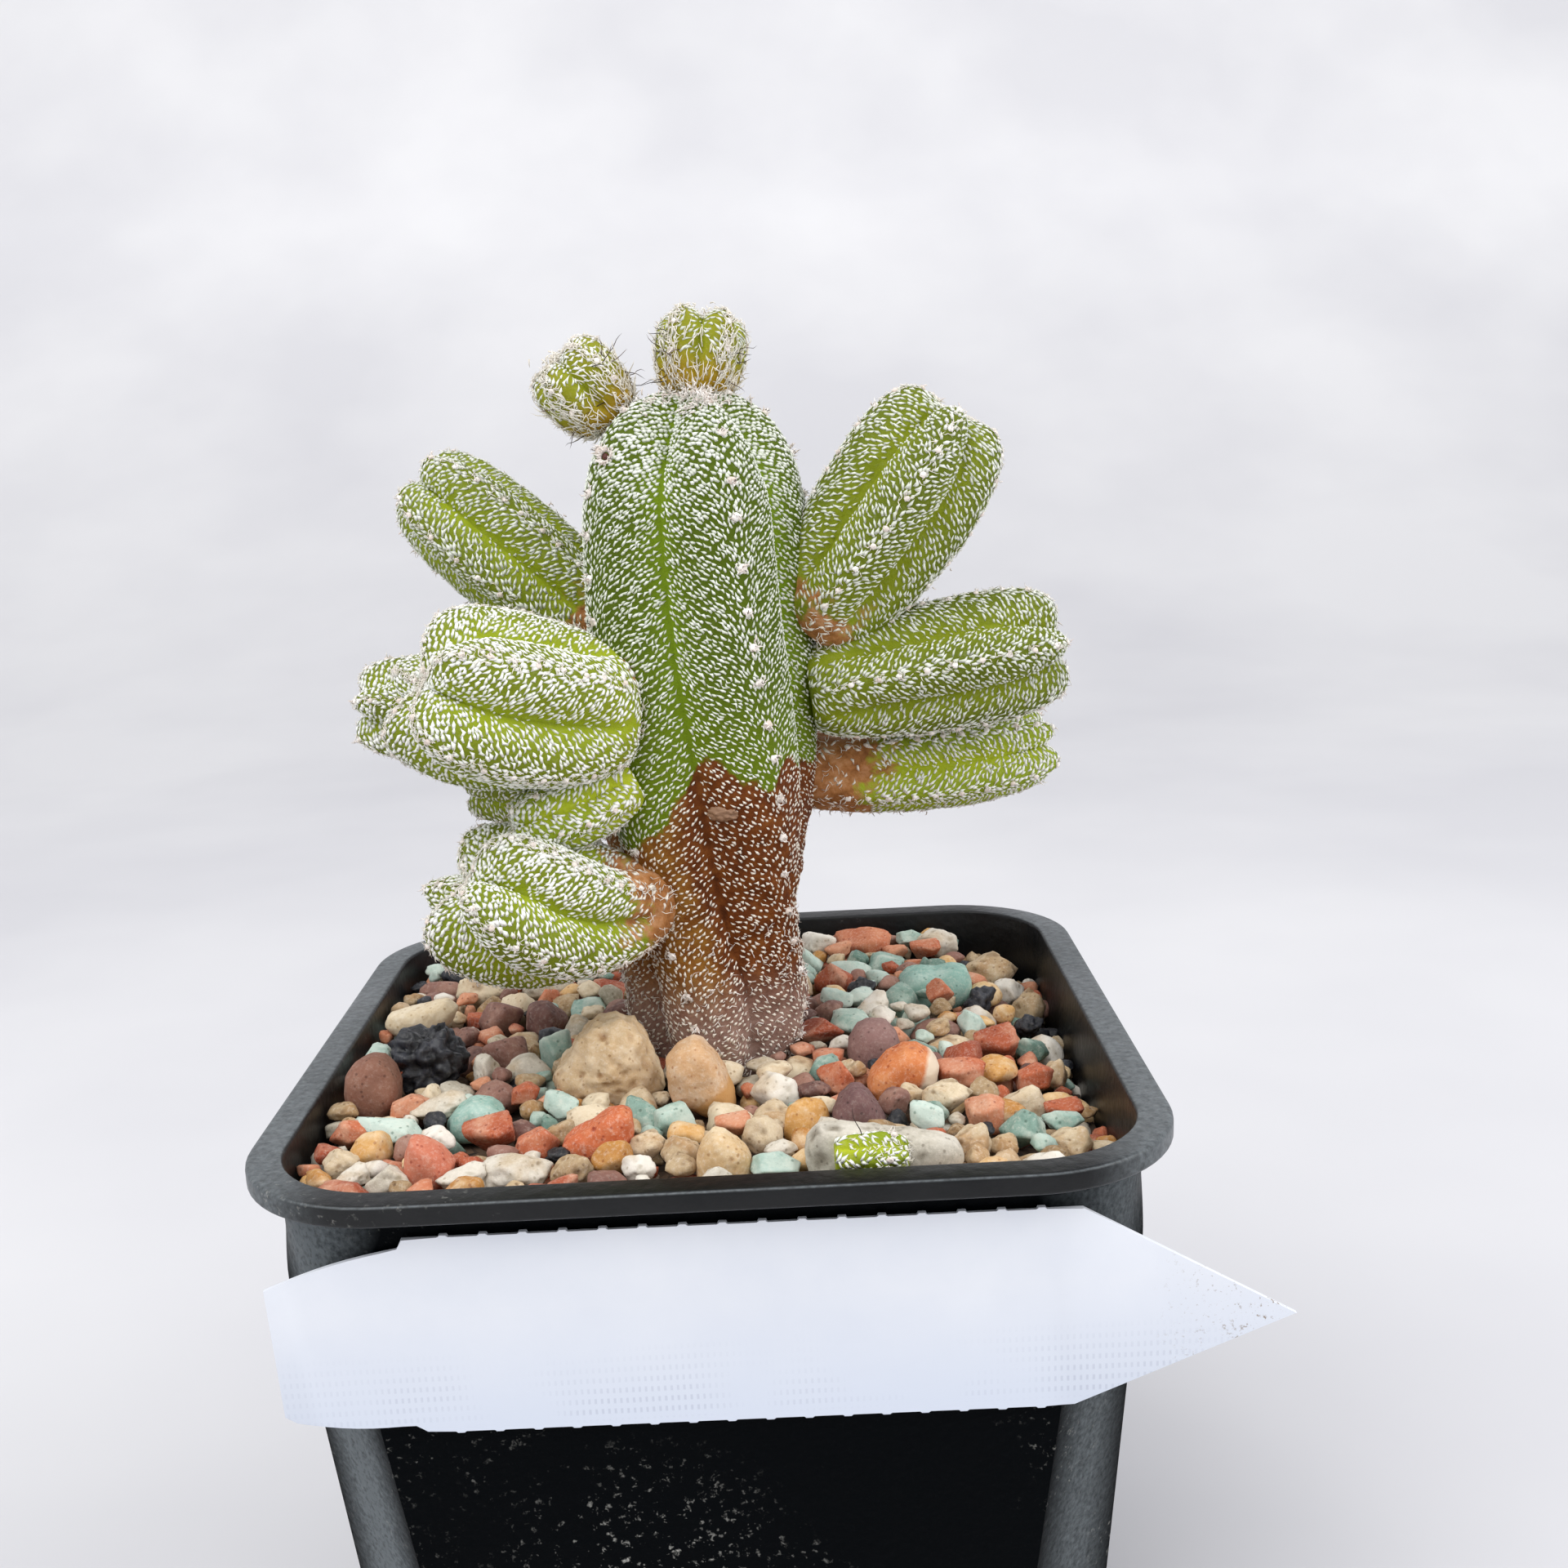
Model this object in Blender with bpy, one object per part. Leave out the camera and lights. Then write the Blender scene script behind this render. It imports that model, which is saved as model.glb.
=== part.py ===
# Potted bishop's cap cactus: a square nursery pot, its soil and gravel, the ribbed stem,
# the pups that grow from it, and a blank plant label on the front wall.
# Metres, +Z up. The origin is the middle of the pot's underside, and -Y is the front.

import math
import random

import bmesh
import bpy
from mathutils import Matrix, Vector

MM = 0.001
GAP = 0.3 * MM  # clearance between pieces that rest on each other
SEAT = 0.45 * MM  # the same where the faces slope, so that it stays near 0.3 mm across them

# Pot, measured over the outside
POT_HEIGHT = 80 * MM
RIM_HALF = 45 * MM
RIM_RADIUS = 15.3 * MM
FLANGE = 3.56 * MM
LIP_DEPTH = 2.15 * MM
RIM_EDGE = 0.45 * MM
WALL_HALF_TOP = 42.28 * MM
WALL_TAPER = 0.0749
WALL = 0.85 * MM
FLOOR = 1.6 * MM
CHAMFER_TOP = 6.59 * MM
CHAMFER_GROWTH = 0.060
CORNER_RADIUS = 12.3 * MM
ROUND_FADE = 13 * MM  # how far below the rim the round corners turn into flat ones
FADE_STOPS = (1.0, 0.75, 0.5, 0.3)
CORNER_STEPS = 6
FOOT_EDGE = 0.8 * MM
DRAIN_RADIUS = 3.5 * MM
DRAIN_OFFSET = 18 * MM
DRAIN_SIDES = 16

# Soil and gravel
SOIL_TOP = 67 * MM
ROOT_RADIUS = 3.6 * MM
ROOT_END = 46 * MM
ROOT_SIDES = 20
GRAVEL_LEVEL = 78.6 * MM
GRAVEL_DIP = 4.6 * MM  # how far the stones lie lower along the right wall
DIP_STARTS, DIP_ENDS = 26 * MM, 40 * MM
DIP_FRONT = (-18 * MM, -34 * MM, 0.45)  # towards the front corner it loses this share
BED_BELOW_STONES = 4.3 * MM
BED_RINGS = (1.0, 0.86, 0.66, 0.4)
TRIM_ABOVE = 12 * MM

# Small stones, in mm
SMALL_STONES = 130
FIRST_TRIES, ALL_TRIES = 700, 4000
FIRST_WIDTH, LATER_WIDTH = (6.4, 8.2), (4.4, 6.2)
STONE_SPACING = 0.90  # share of two stones' radii that their centres keep apart
STEM_SPACING = 9.2
BIG_STONE_SHARE = 0.42  # share of a larger stone's length that the small ones keep off
WALL_SPACING = 1.7
CORNER_CUT = 1.72
STONE_POINTS = 9
STONE_SWAY = 0.35  # how far a corner point may stray round the stone, in radians
STONE_PULL = 0.16  # and how far inwards

# Main stem: height, crest radius (mm)
STEM_AXIS = (0.2 * MM, 2.5 * MM)
STEM_PROFILE = (
    (70.0, 4.6), (73.0, 6.9), (76.5, 8.7), (81.0, 10.2), (86.0, 10.6), (92.0, 10.5), (98.0, 11.4),
    (105.0, 12.6), (112.0, 13.2), (120.0, 13.2), (130.0, 12.9), (138.0, 12.5), (143.0, 11.5),
    (147.0, 9.3), (149.5, 6.2), (150.5, 2.8),
)
STEM_TOP = 150.0 * MM
STEM_RIBS = (-58.0, 24.0, 98.0, 170.0, 236.0)  # crest angles from the front, turning to the right
STEM_TURN = (  # the ribs twist towards the foot: height (mm), degrees
    (74.0, 50.0), (85.0, 42.0), (92.0, 30.0), (100.0, 21.0), (112.0, 12.0), (124.0, 4.0), (136.0, 0.0),
)
STEM_RING_STEP = 2.6
RIB_SHARES = (-0.78, -0.42, 0.0, 0.42, 0.78, 1.0)  # places across one rib, 0 the crest, 1 the groove
STEM_GROOVE, STEM_CROWN_GROOVE = 0.24, 0.30  # depth of the grooves as a share of the radius
GROOVE_STARTS, GROOVE_FULL = 69, 80
RIB_SLOPE, RIB_POWER = 0.35, 2.6  # a rib falls this share evenly, and the rest by this power
AREOLE_BUMP = 0.45 * MM

# Pups: base and tip (mm), largest radius and its place along the axis, neck radius, taper of
# the neck (1 is an ellipse, more is a pear), turn and twist of the ribs, bend of the axis (mm)
PUPS = {
    "offset_upper_left": dict(base=(-9.4, 8.0, 123.6), tip=(-32.0, 10.0, 143.6), radius=7.2, wide=0.55,
                              neck=2.8, taper=1.1, turn=30, bend=(0, 0, 0)),
    "offset_mid_left": dict(base=(-7.6, -4.5, 117.2), tip=(-29.8, -15.8, 124.0), radius=9.9, wide=0.52,
                            neck=4.0, taper=0.9, turn=12, bend=(-1.0, 0, -1.2)),
    "offset_mid_left_rear": dict(base=(-10.0, 8.5, 114.5), tip=(-41.2, 10.0, 117.0), radius=6.4, wide=0.60,
                                 neck=3.0, taper=1.0, turn=0, bend=(0, 0, 0)),
    "offset_small_left": dict(base=(-7.0, -7.0, 110.2), tip=(-20.8, -10.6, 106.0), radius=4.1, wide=0.50,
                              neck=1.9, taper=0.9, turn=38, bend=(0, 0, -0.6)),
    "offset_lower_left": dict(base=(-4.4, -4.0, 97.2), tip=(-27.6, -15.2, 103.8), radius=9.1, wide=0.62,
                              neck=3.4, taper=2.1, turn=4, twist=40, bend=(-0.6, 0, -3.6)),
    "offset_lower_rear": dict(base=(-9.0, 10.0, 105.6), tip=(-29.6, 16.0, 105.6), radius=4.6, wide=0.55,
                              neck=2.6, taper=1.0, turn=0, bend=(0, 0, 0)),
    "offset_drooping_rear": dict(base=(-7.4, 7.0, 100.6), tip=(-11.8, 12.0, 94.0), radius=3.3, wide=0.50,
                                 neck=2.0, taper=1.0, turn=0, bend=(0, 0, 0)),
    "offset_high_rear": dict(base=(-7.5, 12.0, 121.5), tip=(-26.0, 19.0, 124.4), radius=5.0, wide=0.55,
                             neck=2.6, taper=1.0, turn=0, bend=(0, 0, 0)),
    "offset_upper_right": dict(base=(11.6, 4.0, 124.4), tip=(30.4, 4.0, 148.8), radius=8.8, wide=0.60,
                               neck=3.4, taper=1.0, turn=18, bend=(0.6, 0, -0.4)),
    "offset_mid_right": dict(base=(12.0, 3.5, 117.2), tip=(42.4, 6.0, 121.2), radius=7.6, wide=0.64,
                             neck=3.6, taper=0.9, turn=11, bend=(0, 0, 0)),
    "offset_lower_right": dict(base=(10.5, 8.5, 107.2), tip=(42.4, 14.0, 108.4), radius=5.8, wide=0.62,
                               neck=3.6, taper=1.1, turn=48, bend=(0, 0, -1.0)),
    "offset_crown_left": dict(base=(-7.4, 3.5, 147.9), tip=(-14.0, 2.2, 155.4), radius=4.9, wide=0.50,
                              neck=1.8, taper=0.9, turn=15, bend=(0, 0, 0)),
    "offset_crown_right": dict(base=(1.4, 4.5, 149.8), tip=(2.8, 6.5, 159.9), radius=5.1, wide=0.52,
                               neck=2.0, taper=0.9, turn=0, bend=(0, 0, 0)),
    "offset_loose": dict(base=(11.8, -38.0, 79.6), tip=(19.2, -38.2, 79.8), radius=2.3, wide=0.50,
                         neck=1.2, taper=0.9, turn=10, bend=(0, 0, 0)),
}
LOOSE = "offset_loose"  # lies on the pale stone at the front
PUP_SHARES = (-0.55, 0.0, 0.55, 1.0)
NECK_RINGS, CROWN_RINGS = 5, 5
CROWN_BLUNTNESS = 0.52  # below 1 the crown is blunt, as a squared-off egg
CROWN_END = 0.94  # the last ring lies this share of the way round to the tip
CROWN_DENT = 0.03  # and the tip itself this share of the length inside
PUP_GROOVE, PUP_CROWN_GROOVE = 0.30, 0.12
PUP_AREOLES = (0.15, 0.97)
PRESSED = {  # pups that lie against an earlier one, which dents them
    "offset_small_left": ("offset_mid_left",),
    "offset_mid_left_rear": ("offset_mid_left",),
    "offset_lower_left": ("offset_small_left",),
    "offset_mid_right": ("offset_upper_right",),
    "offset_lower_right": ("offset_mid_right",),
    "offset_high_rear": ("offset_upper_left", "offset_mid_left", "offset_mid_left_rear"),
    "offset_lower_rear": ("offset_mid_left_rear",),
    "offset_drooping_rear": ("offset_lower_rear",),
}
SKIN = (0.22, 0.34, 0.08)
PALE_SKIN = (0.40, 0.46, 0.24)
PALE = (
    "offset_crown_left", "offset_crown_right", "offset_mid_left_rear", "offset_lower_rear",
    "offset_drooping_rear", "offset_high_rear", "offset_loose",
)

# Spines of the two young pups on the crown
SPINY = ("offset_crown_left", "offset_crown_right")
SPINE_COUNT = 10
SPINE_LENGTH = 2.6 * MM
SPINE_RADIUS, SPINE_TIP = 0.25 * MM, 0.04 * MM
SPINE_BAND = (0.18, 0.42)  # where they stand, as shares of the pup's length
SPINE_LEAN = (-0.9, 0.2)
SPINE_ROOT = 0.55  # share of the pup's radius at which a spine starts, well inside

# Larger stones: place (mm), size (mm), turn (degrees), number of corner points
STONES = {
    "stone_cream_boulder": ((-11.4, -9.4, 79.6), (13.2, 8.0, 10.6), 8, 22),
    "stone_tan_wedge": ((-1.4, -14.6, 79.2), (7.8, 6.6, 9.0), -12, 20),
    "stone_lava_black": ((-32.4, -3.4, 78.0), (9.0, 8.0, 8.4), 20, 30),
    "stone_brown_round": ((-37.0, -11.4, 78.2), (7.0, 7.0, 7.6), 0, 36),
    "stone_pumice_pale": ((16.6, -35.2, 77.6), (15.6, 5.6, 5.0), 3, 30),
    "stone_orange_banded": ((19.8, -12.4, 77.6), (8.0, 6.4, 6.4), 25, 24),
    "stone_purple_back": ((17.4, -4.2, 77.0), (6.4, 5.6, 6.8), 0, 24),
    "stone_purple_front": ((14.4, -22.8, 77.8), (5.6, 5.2, 5.4), -10, 22),
    "stone_red_block": ((-11.6, -27.2, 78.0), (7.2, 5.2, 5.4), 12, 14),
    "stone_red_wedge": ((-27.3, -31.4, 77.6), (5.2, 4.6, 6.0), 0, 12),
    "stone_green_slab": ((-24.6, -17.6, 77.4), (6.8, 6.0, 6.0), -15, 14),
    "stone_sand_face": ((1.2, -33.4, 78.0), (5.4, 4.8, 5.2), 5, 12),
    "stone_cream_long": ((-35.6, 12.4, 77.4), (9.0, 5.2, 5.0), 6, 22),
    "stone_turquoise_rear": ((26.4, 20.6, 76.0), (9.4, 7.0, 6.4), 0, 16),
}
STONE_COLOURS = {
    "cream": (0.60, 0.48, 0.33), "tan": (0.55, 0.36, 0.22), "lava": (0.02, 0.02, 0.024),
    "brown": (0.22, 0.10, 0.07), "pumice": (0.62, 0.60, 0.55), "orange": (0.60, 0.22, 0.10),
    "purple": (0.19, 0.10, 0.10), "red": (0.45, 0.12, 0.06), "green": (0.26, 0.42, 0.34),
    "sand": (0.58, 0.42, 0.26), "turquoise": (0.28, 0.50, 0.43),
}
NEAR_STEM = 20  # mm from the axis, within which a larger stone is cut to lie against the stem

# Blank label on the front wall: x and height (mm), clockwise from the head's top end
LABEL_TOP = ((-41.3, 71.1), (-28.6, 74.7), (-28.2, 75.7), (34.2, 75.5))
LABEL_TIP = (54.1, 63.5)
LABEL_BOTTOM = ((33.3, 54.9), (-27.7, 55.4), (-28.7, 56.2), (-39.8, 57.0), (-40.9, 57.7))
LABEL_THICK = 0.5 * MM
HEAD_BULGE = 0.45
HEAD_STEPS = 5

SHARP_ANGLE = math.radians(50)
WELD = 0.03 * MM  # corners nearer than this become one, which closes the slivers that cuts leave


def clear_scene():
    for obj in list(bpy.data.objects):
        bpy.data.objects.remove(obj, do_unlink=True)


def material(name, colour, roughness, metallic=0.0):
    made = bpy.data.materials.new(name)
    made.use_nodes = True
    shader = made.node_tree.nodes["Principled BSDF"]
    shader.inputs["Base Color"].default_value = (*colour, 1.0)
    shader.inputs["Roughness"].default_value = roughness
    shader.inputs["Metallic"].default_value = metallic
    made.diffuse_color = (*colour, 1.0)
    return made


def add_object(name, bm, surface=None, smooth=False):
    bmesh.ops.recalc_face_normals(bm, faces=bm.faces)
    mesh = bpy.data.meshes.new(name)
    bm.to_mesh(mesh)
    bm.free()
    obj = bpy.data.objects.new(name, mesh)
    bpy.context.scene.collection.objects.link(obj)
    if surface:
        mesh.materials.append(surface)
    if smooth:
        mesh.shade_smooth()
        mesh.set_sharp_from_angle(angle=SHARP_ANGLE)
    return obj


def as_cutter(obj):
    obj.hide_render = True
    obj.display_type = "WIRE"
    return obj


def combine(obj, other, operation="DIFFERENCE", solver="EXACT"):
    # other is an object, or a collection whose objects are all joined in
    step = obj.modifiers.new(operation.lower() + " " + other.name, "BOOLEAN")
    step.operation = operation
    step.solver = solver
    if isinstance(other, bpy.types.Collection):
        step.operand_type = "COLLECTION"
        step.collection = other
    else:
        step.object = as_cutter(other)


def apply_modifiers(obj):
    shown = obj.evaluated_get(bpy.context.evaluated_depsgraph_get())
    mesh = bpy.data.meshes.new_from_object(shown)
    obj.modifiers.clear()
    obj.data = mesh


def gather(name):
    group = bpy.data.collections.new(name)
    bpy.context.scene.collection.children.link(group)
    return group


def move_to(group, obj):
    bpy.context.scene.collection.objects.unlink(obj)
    group.objects.link(obj)


def discard(group):
    for obj in list(group.objects):
        bpy.data.objects.remove(obj, do_unlink=True)
    bpy.data.collections.remove(group)


def keep_largest_body(obj):
    bm = bmesh.new()
    bm.from_mesh(obj.data)
    left = set(bm.verts)
    bodies = []
    while left:
        body, front = set(), {left.pop()}
        while front:
            vert = front.pop()
            body.add(vert)
            for link in vert.link_edges:
                other = link.other_vert(vert)
                if other in left:
                    left.discard(other)
                    front.add(other)
        bodies.append(body)
    bodies.sort(key=len)
    for scrap in bodies[:-1]:
        bmesh.ops.delete(bm, geom=list(scrap), context="VERTS")
    bm.to_mesh(obj.data)
    bm.free()


def weld(obj):
    bm = bmesh.new()
    bm.from_mesh(obj.data)
    bmesh.ops.triangulate(bm, faces=bm.faces)
    bmesh.ops.remove_doubles(bm, verts=bm.verts, dist=WELD)
    bmesh.ops.dissolve_degenerate(bm, edges=bm.edges, dist=WELD / 2)
    bmesh.ops.triangulate(bm, faces=bm.faces)
    bm.to_mesh(obj.data)
    bm.free()


def along(stops, place):
    # a smooth value between (place, value) stops, by Catmull-Rom
    if place <= stops[0][0]:
        return stops[0][1]
    if place >= stops[-1][0]:
        return stops[-1][1]
    i = max(k for k in range(len(stops) - 1) if stops[k][0] <= place)
    (x0, y0), (x1, y1) = stops[i], stops[i + 1]
    before, after = stops[max(i - 1, 0)], stops[min(i + 2, len(stops) - 1)]
    slope0 = (y1 - before[1]) / (x1 - before[0])
    slope1 = (after[1] - y0) / (after[0] - x0)
    span = x1 - x0
    t = (place - x0) / span
    return (
        (2 * t**3 - 3 * t**2 + 1) * y0 + (t**3 - 2 * t**2 + t) * span * slope0
        + (3 * t**2 - 2 * t**3) * y1 + (t**3 - t**2) * span * slope1
    )


def smoothstep(low, high, value):
    t = min(max((value - low) / (high - low), 0.0), 1.0)
    return t * t * (3 - 2 * t)


def loft(rings, end_tip=None):
    # skins rings of as many points each, closed by a face at the start, and by one or a tip at the end
    bm = bmesh.new()
    loops = [[bm.verts.new(point) for point in ring] for ring in rings]
    count = len(loops[0])
    for lower, upper in zip(loops, loops[1:]):
        for i in range(count):
            j = (i + 1) % count
            bm.faces.new((lower[i], lower[j], upper[j], upper[i]))
    bm.faces.new(loops[0])
    if end_tip is None:
        bm.faces.new(loops[-1])
        return bm
    tip = bm.verts.new(end_tip)
    for i in range(count):
        bm.faces.new((loops[-1][i], loops[-1][(i + 1) % count], tip))
    return bm


def cylinder(name, radius, low, high, place, sides):
    bm = bmesh.new()
    bmesh.ops.create_cone(bm, cap_ends=True, segments=sides, radius1=radius, radius2=radius, depth=high - low)
    bmesh.ops.translate(bm, verts=bm.verts, vec=(place[0], place[1], (low + high) / 2))
    return add_object(name, bm)


# Pot

def square_ring(half, corner, height, roundness, radius):
    # corners blend from a flat chamfer to an arc as roundness goes from 0 to 1
    ring = []
    for quarter in range(4):
        turn = Matrix.Rotation(quarter * math.pi / 2, 3, "Z")
        for i in range(CORNER_STEPS + 1):
            share = i / CORNER_STEPS
            angle = share * math.pi / 2
            middle = half - radius
            arc = Vector((middle + radius * math.cos(angle), middle + radius * math.sin(angle), 0))
            flat = Vector((half - corner * share, half - corner * (1 - share), 0))
            point = turn @ arc.lerp(flat, 1 - roundness)
            ring.append(Vector((point.x, point.y, height)))
    return ring


def wall_ring(height, inset=0.0):
    drop = POT_HEIGHT - height
    half = WALL_HALF_TOP - WALL_TAPER * drop - inset
    chamfer = CHAMFER_TOP + CHAMFER_GROWTH * drop - inset * (2 - math.sqrt(2))
    roundness = 1 - smoothstep(LIP_DEPTH, ROUND_FADE, drop)
    return square_ring(half, chamfer, height, roundness, CORNER_RADIUS - inset)


def wall_heights(low, high):
    below = [POT_HEIGHT - ROUND_FADE * share for share in FADE_STOPS]
    return [low] + [height for height in below if low < height < high] + [high]


def build_pot():
    under_lip = POT_HEIGHT - LIP_DEPTH
    foot_half = WALL_HALF_TOP - WALL_TAPER * POT_HEIGHT - FOOT_EDGE
    foot_chamfer = CHAMFER_TOP + CHAMFER_GROWTH * POT_HEIGHT
    rings = [square_ring(foot_half, foot_chamfer, 0.0, 0.0, CORNER_RADIUS)]
    rings += [wall_ring(height) for height in wall_heights(FOOT_EDGE, under_lip)]
    for half, height in (
        (RIM_HALF - RIM_EDGE, under_lip),
        (RIM_HALF, under_lip + RIM_EDGE),
        (RIM_HALF, POT_HEIGHT - RIM_EDGE),
        (RIM_HALF - RIM_EDGE, POT_HEIGHT),
        (RIM_HALF - FLANGE + RIM_EDGE, POT_HEIGHT),
    ):
        rings.append(square_ring(half, CHAMFER_TOP, height, 1.0, RIM_RADIUS - (RIM_HALF - half)))
    inner = [wall_ring(height, WALL) for height in wall_heights(FLOOR, POT_HEIGHT - RIM_EDGE)]
    rings += reversed(inner)
    pot = add_object("pot", loft(rings), material("black moulded plastic", (0.012, 0.014, 0.017), 0.38), True)
    for i in range(4):
        angle = math.radians(45 + 90 * i)
        place = (DRAIN_OFFSET * math.cos(angle), DRAIN_OFFSET * math.sin(angle))
        combine(pot, cylinder(f"drain_cutter_{i}", DRAIN_RADIUS, -FLOOR, 2 * FLOOR, place, DRAIN_SIDES))


# Soil and gravel

def stone_level(x, y):
    # top of the stones: level with the rim, lower along the right wall
    loss = DIP_FRONT[2] * smoothstep(DIP_FRONT[0], DIP_FRONT[1], y)
    return GRAVEL_LEVEL - GRAVEL_DIP * smoothstep(DIP_STARTS, DIP_ENDS, x) * (1 - loss)


def build_soil():
    heights = wall_heights(FLOOR + GAP, SOIL_TOP)
    rings = [wall_ring(height, WALL + GAP) for height in heights]
    soil = add_object("soil", loft(rings), material("peat mix", (0.045, 0.030, 0.020), 0.95))
    low, high = ROOT_END - GAP, SOIL_TOP + GAP
    combine(soil, cylinder("root_hole_cutter", ROOT_RADIUS + GAP, low, high, STEM_AXIS, ROOT_SIDES))


def pebble(name, place, size, turn, points, seed, surface=None):
    # an irregular convex stone: the hull of points spread over an egg, some pulled in
    rng = random.Random(seed)
    bm = bmesh.new()
    golden = math.pi * (3 - math.sqrt(5))
    for i in range(points):
        height = 1 - 2 * (i + 0.5) / points
        angle = golden * i + rng.uniform(-STONE_SWAY, STONE_SWAY)
        level = math.sqrt(1 - height * height)
        reach = 1 - rng.uniform(0, STONE_PULL)
        bm.verts.new((reach * level * math.cos(angle), reach * level * math.sin(angle), reach * height))
    hull = bmesh.ops.convex_hull(bm, input=bm.verts)
    inside = hull["geom_interior"] + hull["geom_unused"]
    spare = {item for item in inside if isinstance(item, bmesh.types.BMVert)}
    bmesh.ops.delete(bm, geom=list(spare), context="VERTS")
    spans = [max(v.co[k] for v in bm.verts) - min(v.co[k] for v in bm.verts) for k in range(3)]
    bmesh.ops.scale(bm, verts=bm.verts, vec=[size[k] * MM / spans[k] for k in range(3)])
    tilt = Matrix.Rotation(math.radians(turn), 4, "Z")
    bmesh.ops.transform(bm, matrix=Matrix.Translation(Vector(place) * MM) @ tilt, verts=bm.verts)
    return add_object(name, bm, surface)


def scatter_stones(rng):
    # places and diameters (mm) of the small stones, kept off the stem and the larger stones
    taken = [(place[0], place[1], BIG_STONE_SHARE * max(size[:2])) for place, size, _, _ in STONES.values()]
    taken.append((STEM_AXIS[0] / MM, STEM_AXIS[1] / MM, STEM_SPACING))
    placed = []
    for attempt in range(ALL_TRIES):
        if len(placed) == SMALL_STONES:
            break
        wide = rng.uniform(*(FIRST_WIDTH if attempt < FIRST_TRIES else LATER_WIDTH))
        edge = WALL_HALF_TOP / MM - WALL_SPACING - 0.5 * wide
        x, y = rng.uniform(-edge, edge), rng.uniform(-edge, edge)
        if abs(x) + abs(y) > CORNER_CUT * edge:
            continue
        if all(math.hypot(x - tx, y - ty) > STONE_SPACING * (0.5 * wide + reach) for tx, ty, reach in taken):
            placed.append((x, y, wide))
            taken.append((x, y, 0.5 * wide))
    return placed


def bed_slab():
    top = wall_ring(GRAVEL_LEVEL - BED_BELOW_STONES, WALL + SEAT)
    rings = [wall_ring(SOIL_TOP + GAP, WALL + SEAT)]
    for scale in BED_RINGS:
        ring = [Vector((point.x * scale, point.y * scale, 0)) for point in top]
        for point in ring:
            point.z = stone_level(point.x, point.y) - BED_BELOW_STONES
        rings.append(ring)
    return loft(rings, end_tip=(0, 0, stone_level(0, 0) - BED_BELOW_STONES))


def inside_of_pot():
    # keeps every stone inside the pot's inner faces
    rings = [wall_ring(height, WALL + SEAT) for height in wall_heights(SOIL_TOP + GAP, POT_HEIGHT)]
    rings.append([Vector((point.x, point.y, POT_HEIGHT + TRIM_ABOVE)) for point in rings[-1]])
    return add_object("inside_of_pot", loft(rings))


def build_gravel(cutters):
    rng = random.Random(11)
    bed = add_object("gravel_bed", bed_slab(), material("mixed aquarium gravel", (0.52, 0.33, 0.22), 0.85))
    loose = gather("stones to fuse")
    for i, (x, y, wide) in enumerate(scatter_stones(rng)):
        tall = wide * rng.uniform(0.72, 0.98)
        long = wide * rng.uniform(0.95, 1.2)
        level = stone_level(x * MM, y * MM) / MM + rng.uniform(-0.9, 0.5) - 0.5 * tall
        turn = rng.uniform(0, 180)
        move_to(loose, pebble(f"pebble_{i}", (x, y, level), (long, wide, tall), turn, STONE_POINTS, 500 + i))
    combine(bed, loose, "UNION", "MANIFOLD")
    combine(bed, inside_of_pot(), "INTERSECT", "MANIFOLD")
    for cutter in cutters:
        combine(bed, cutter, "DIFFERENCE", "MANIFOLD")
    apply_modifiers(bed)
    keep_largest_body(bed)
    weld(bed)
    discard(loose)


def build_stones(stem_cutter, loose_cutter):
    # each larger stone, and a grown copy of it that cuts its seat in the bed
    cutters = []
    for i, (name, (place, size, turn, points)) in enumerate(STONES.items()):
        kind = name.split("_")[1]
        surface = material(name.replace("_", " "), STONE_COLOURS[kind], 0.8)
        stone = pebble(name, place, size, turn, points, 40 + i, surface)
        grown = [length + 2 * SEAT / MM for length in size]
        cutters.append(pebble("seat_" + name, place, grown, turn, points, 40 + i))
        if math.hypot(place[0], place[1]) < NEAR_STEM:
            combine(stone, stem_cutter)
        if kind == "pumice":
            combine(stone, loose_cutter, "DIFFERENCE", "MANIFOLD")
    return cutters


# Plant

def rib_radius(share, radius, depth):
    # from the crest to the groove a rib falls away slowly and then steeply
    across = abs(share)
    return radius * (1 - depth * (RIB_SLOPE * across + (1 - RIB_SLOPE) * across**RIB_POWER))


def stem_ring(height, radius, depth, bumps, grow):
    turn = along(STEM_TURN, height)
    ring = []
    for k, crest in enumerate(STEM_RIBS):
        following = STEM_RIBS[(k + 1) % len(STEM_RIBS)] + (360 if k + 1 == len(STEM_RIBS) else 0)
        before = STEM_RIBS[k - 1] - (360 if k == 0 else 0)
        for share in RIB_SHARES:
            half = (following - crest if share > 0 else crest - before) / 2
            angle = math.radians(crest + turn + share * half)
            reach = rib_radius(share, radius * MM, depth) + grow
            if share == 0.0 and bumps is not None and (bumps + k) % 2 == 0:
                reach += AREOLE_BUMP
            x, y = STEM_AXIS[0] + reach * math.sin(angle), STEM_AXIS[1] - reach * math.cos(angle)
            ring.append(Vector((x, y, height * MM)))
    return ring


def stem_groove(height):
    return STEM_GROOVE * smoothstep(GROOVE_STARTS, GROOVE_FULL, height)


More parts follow.
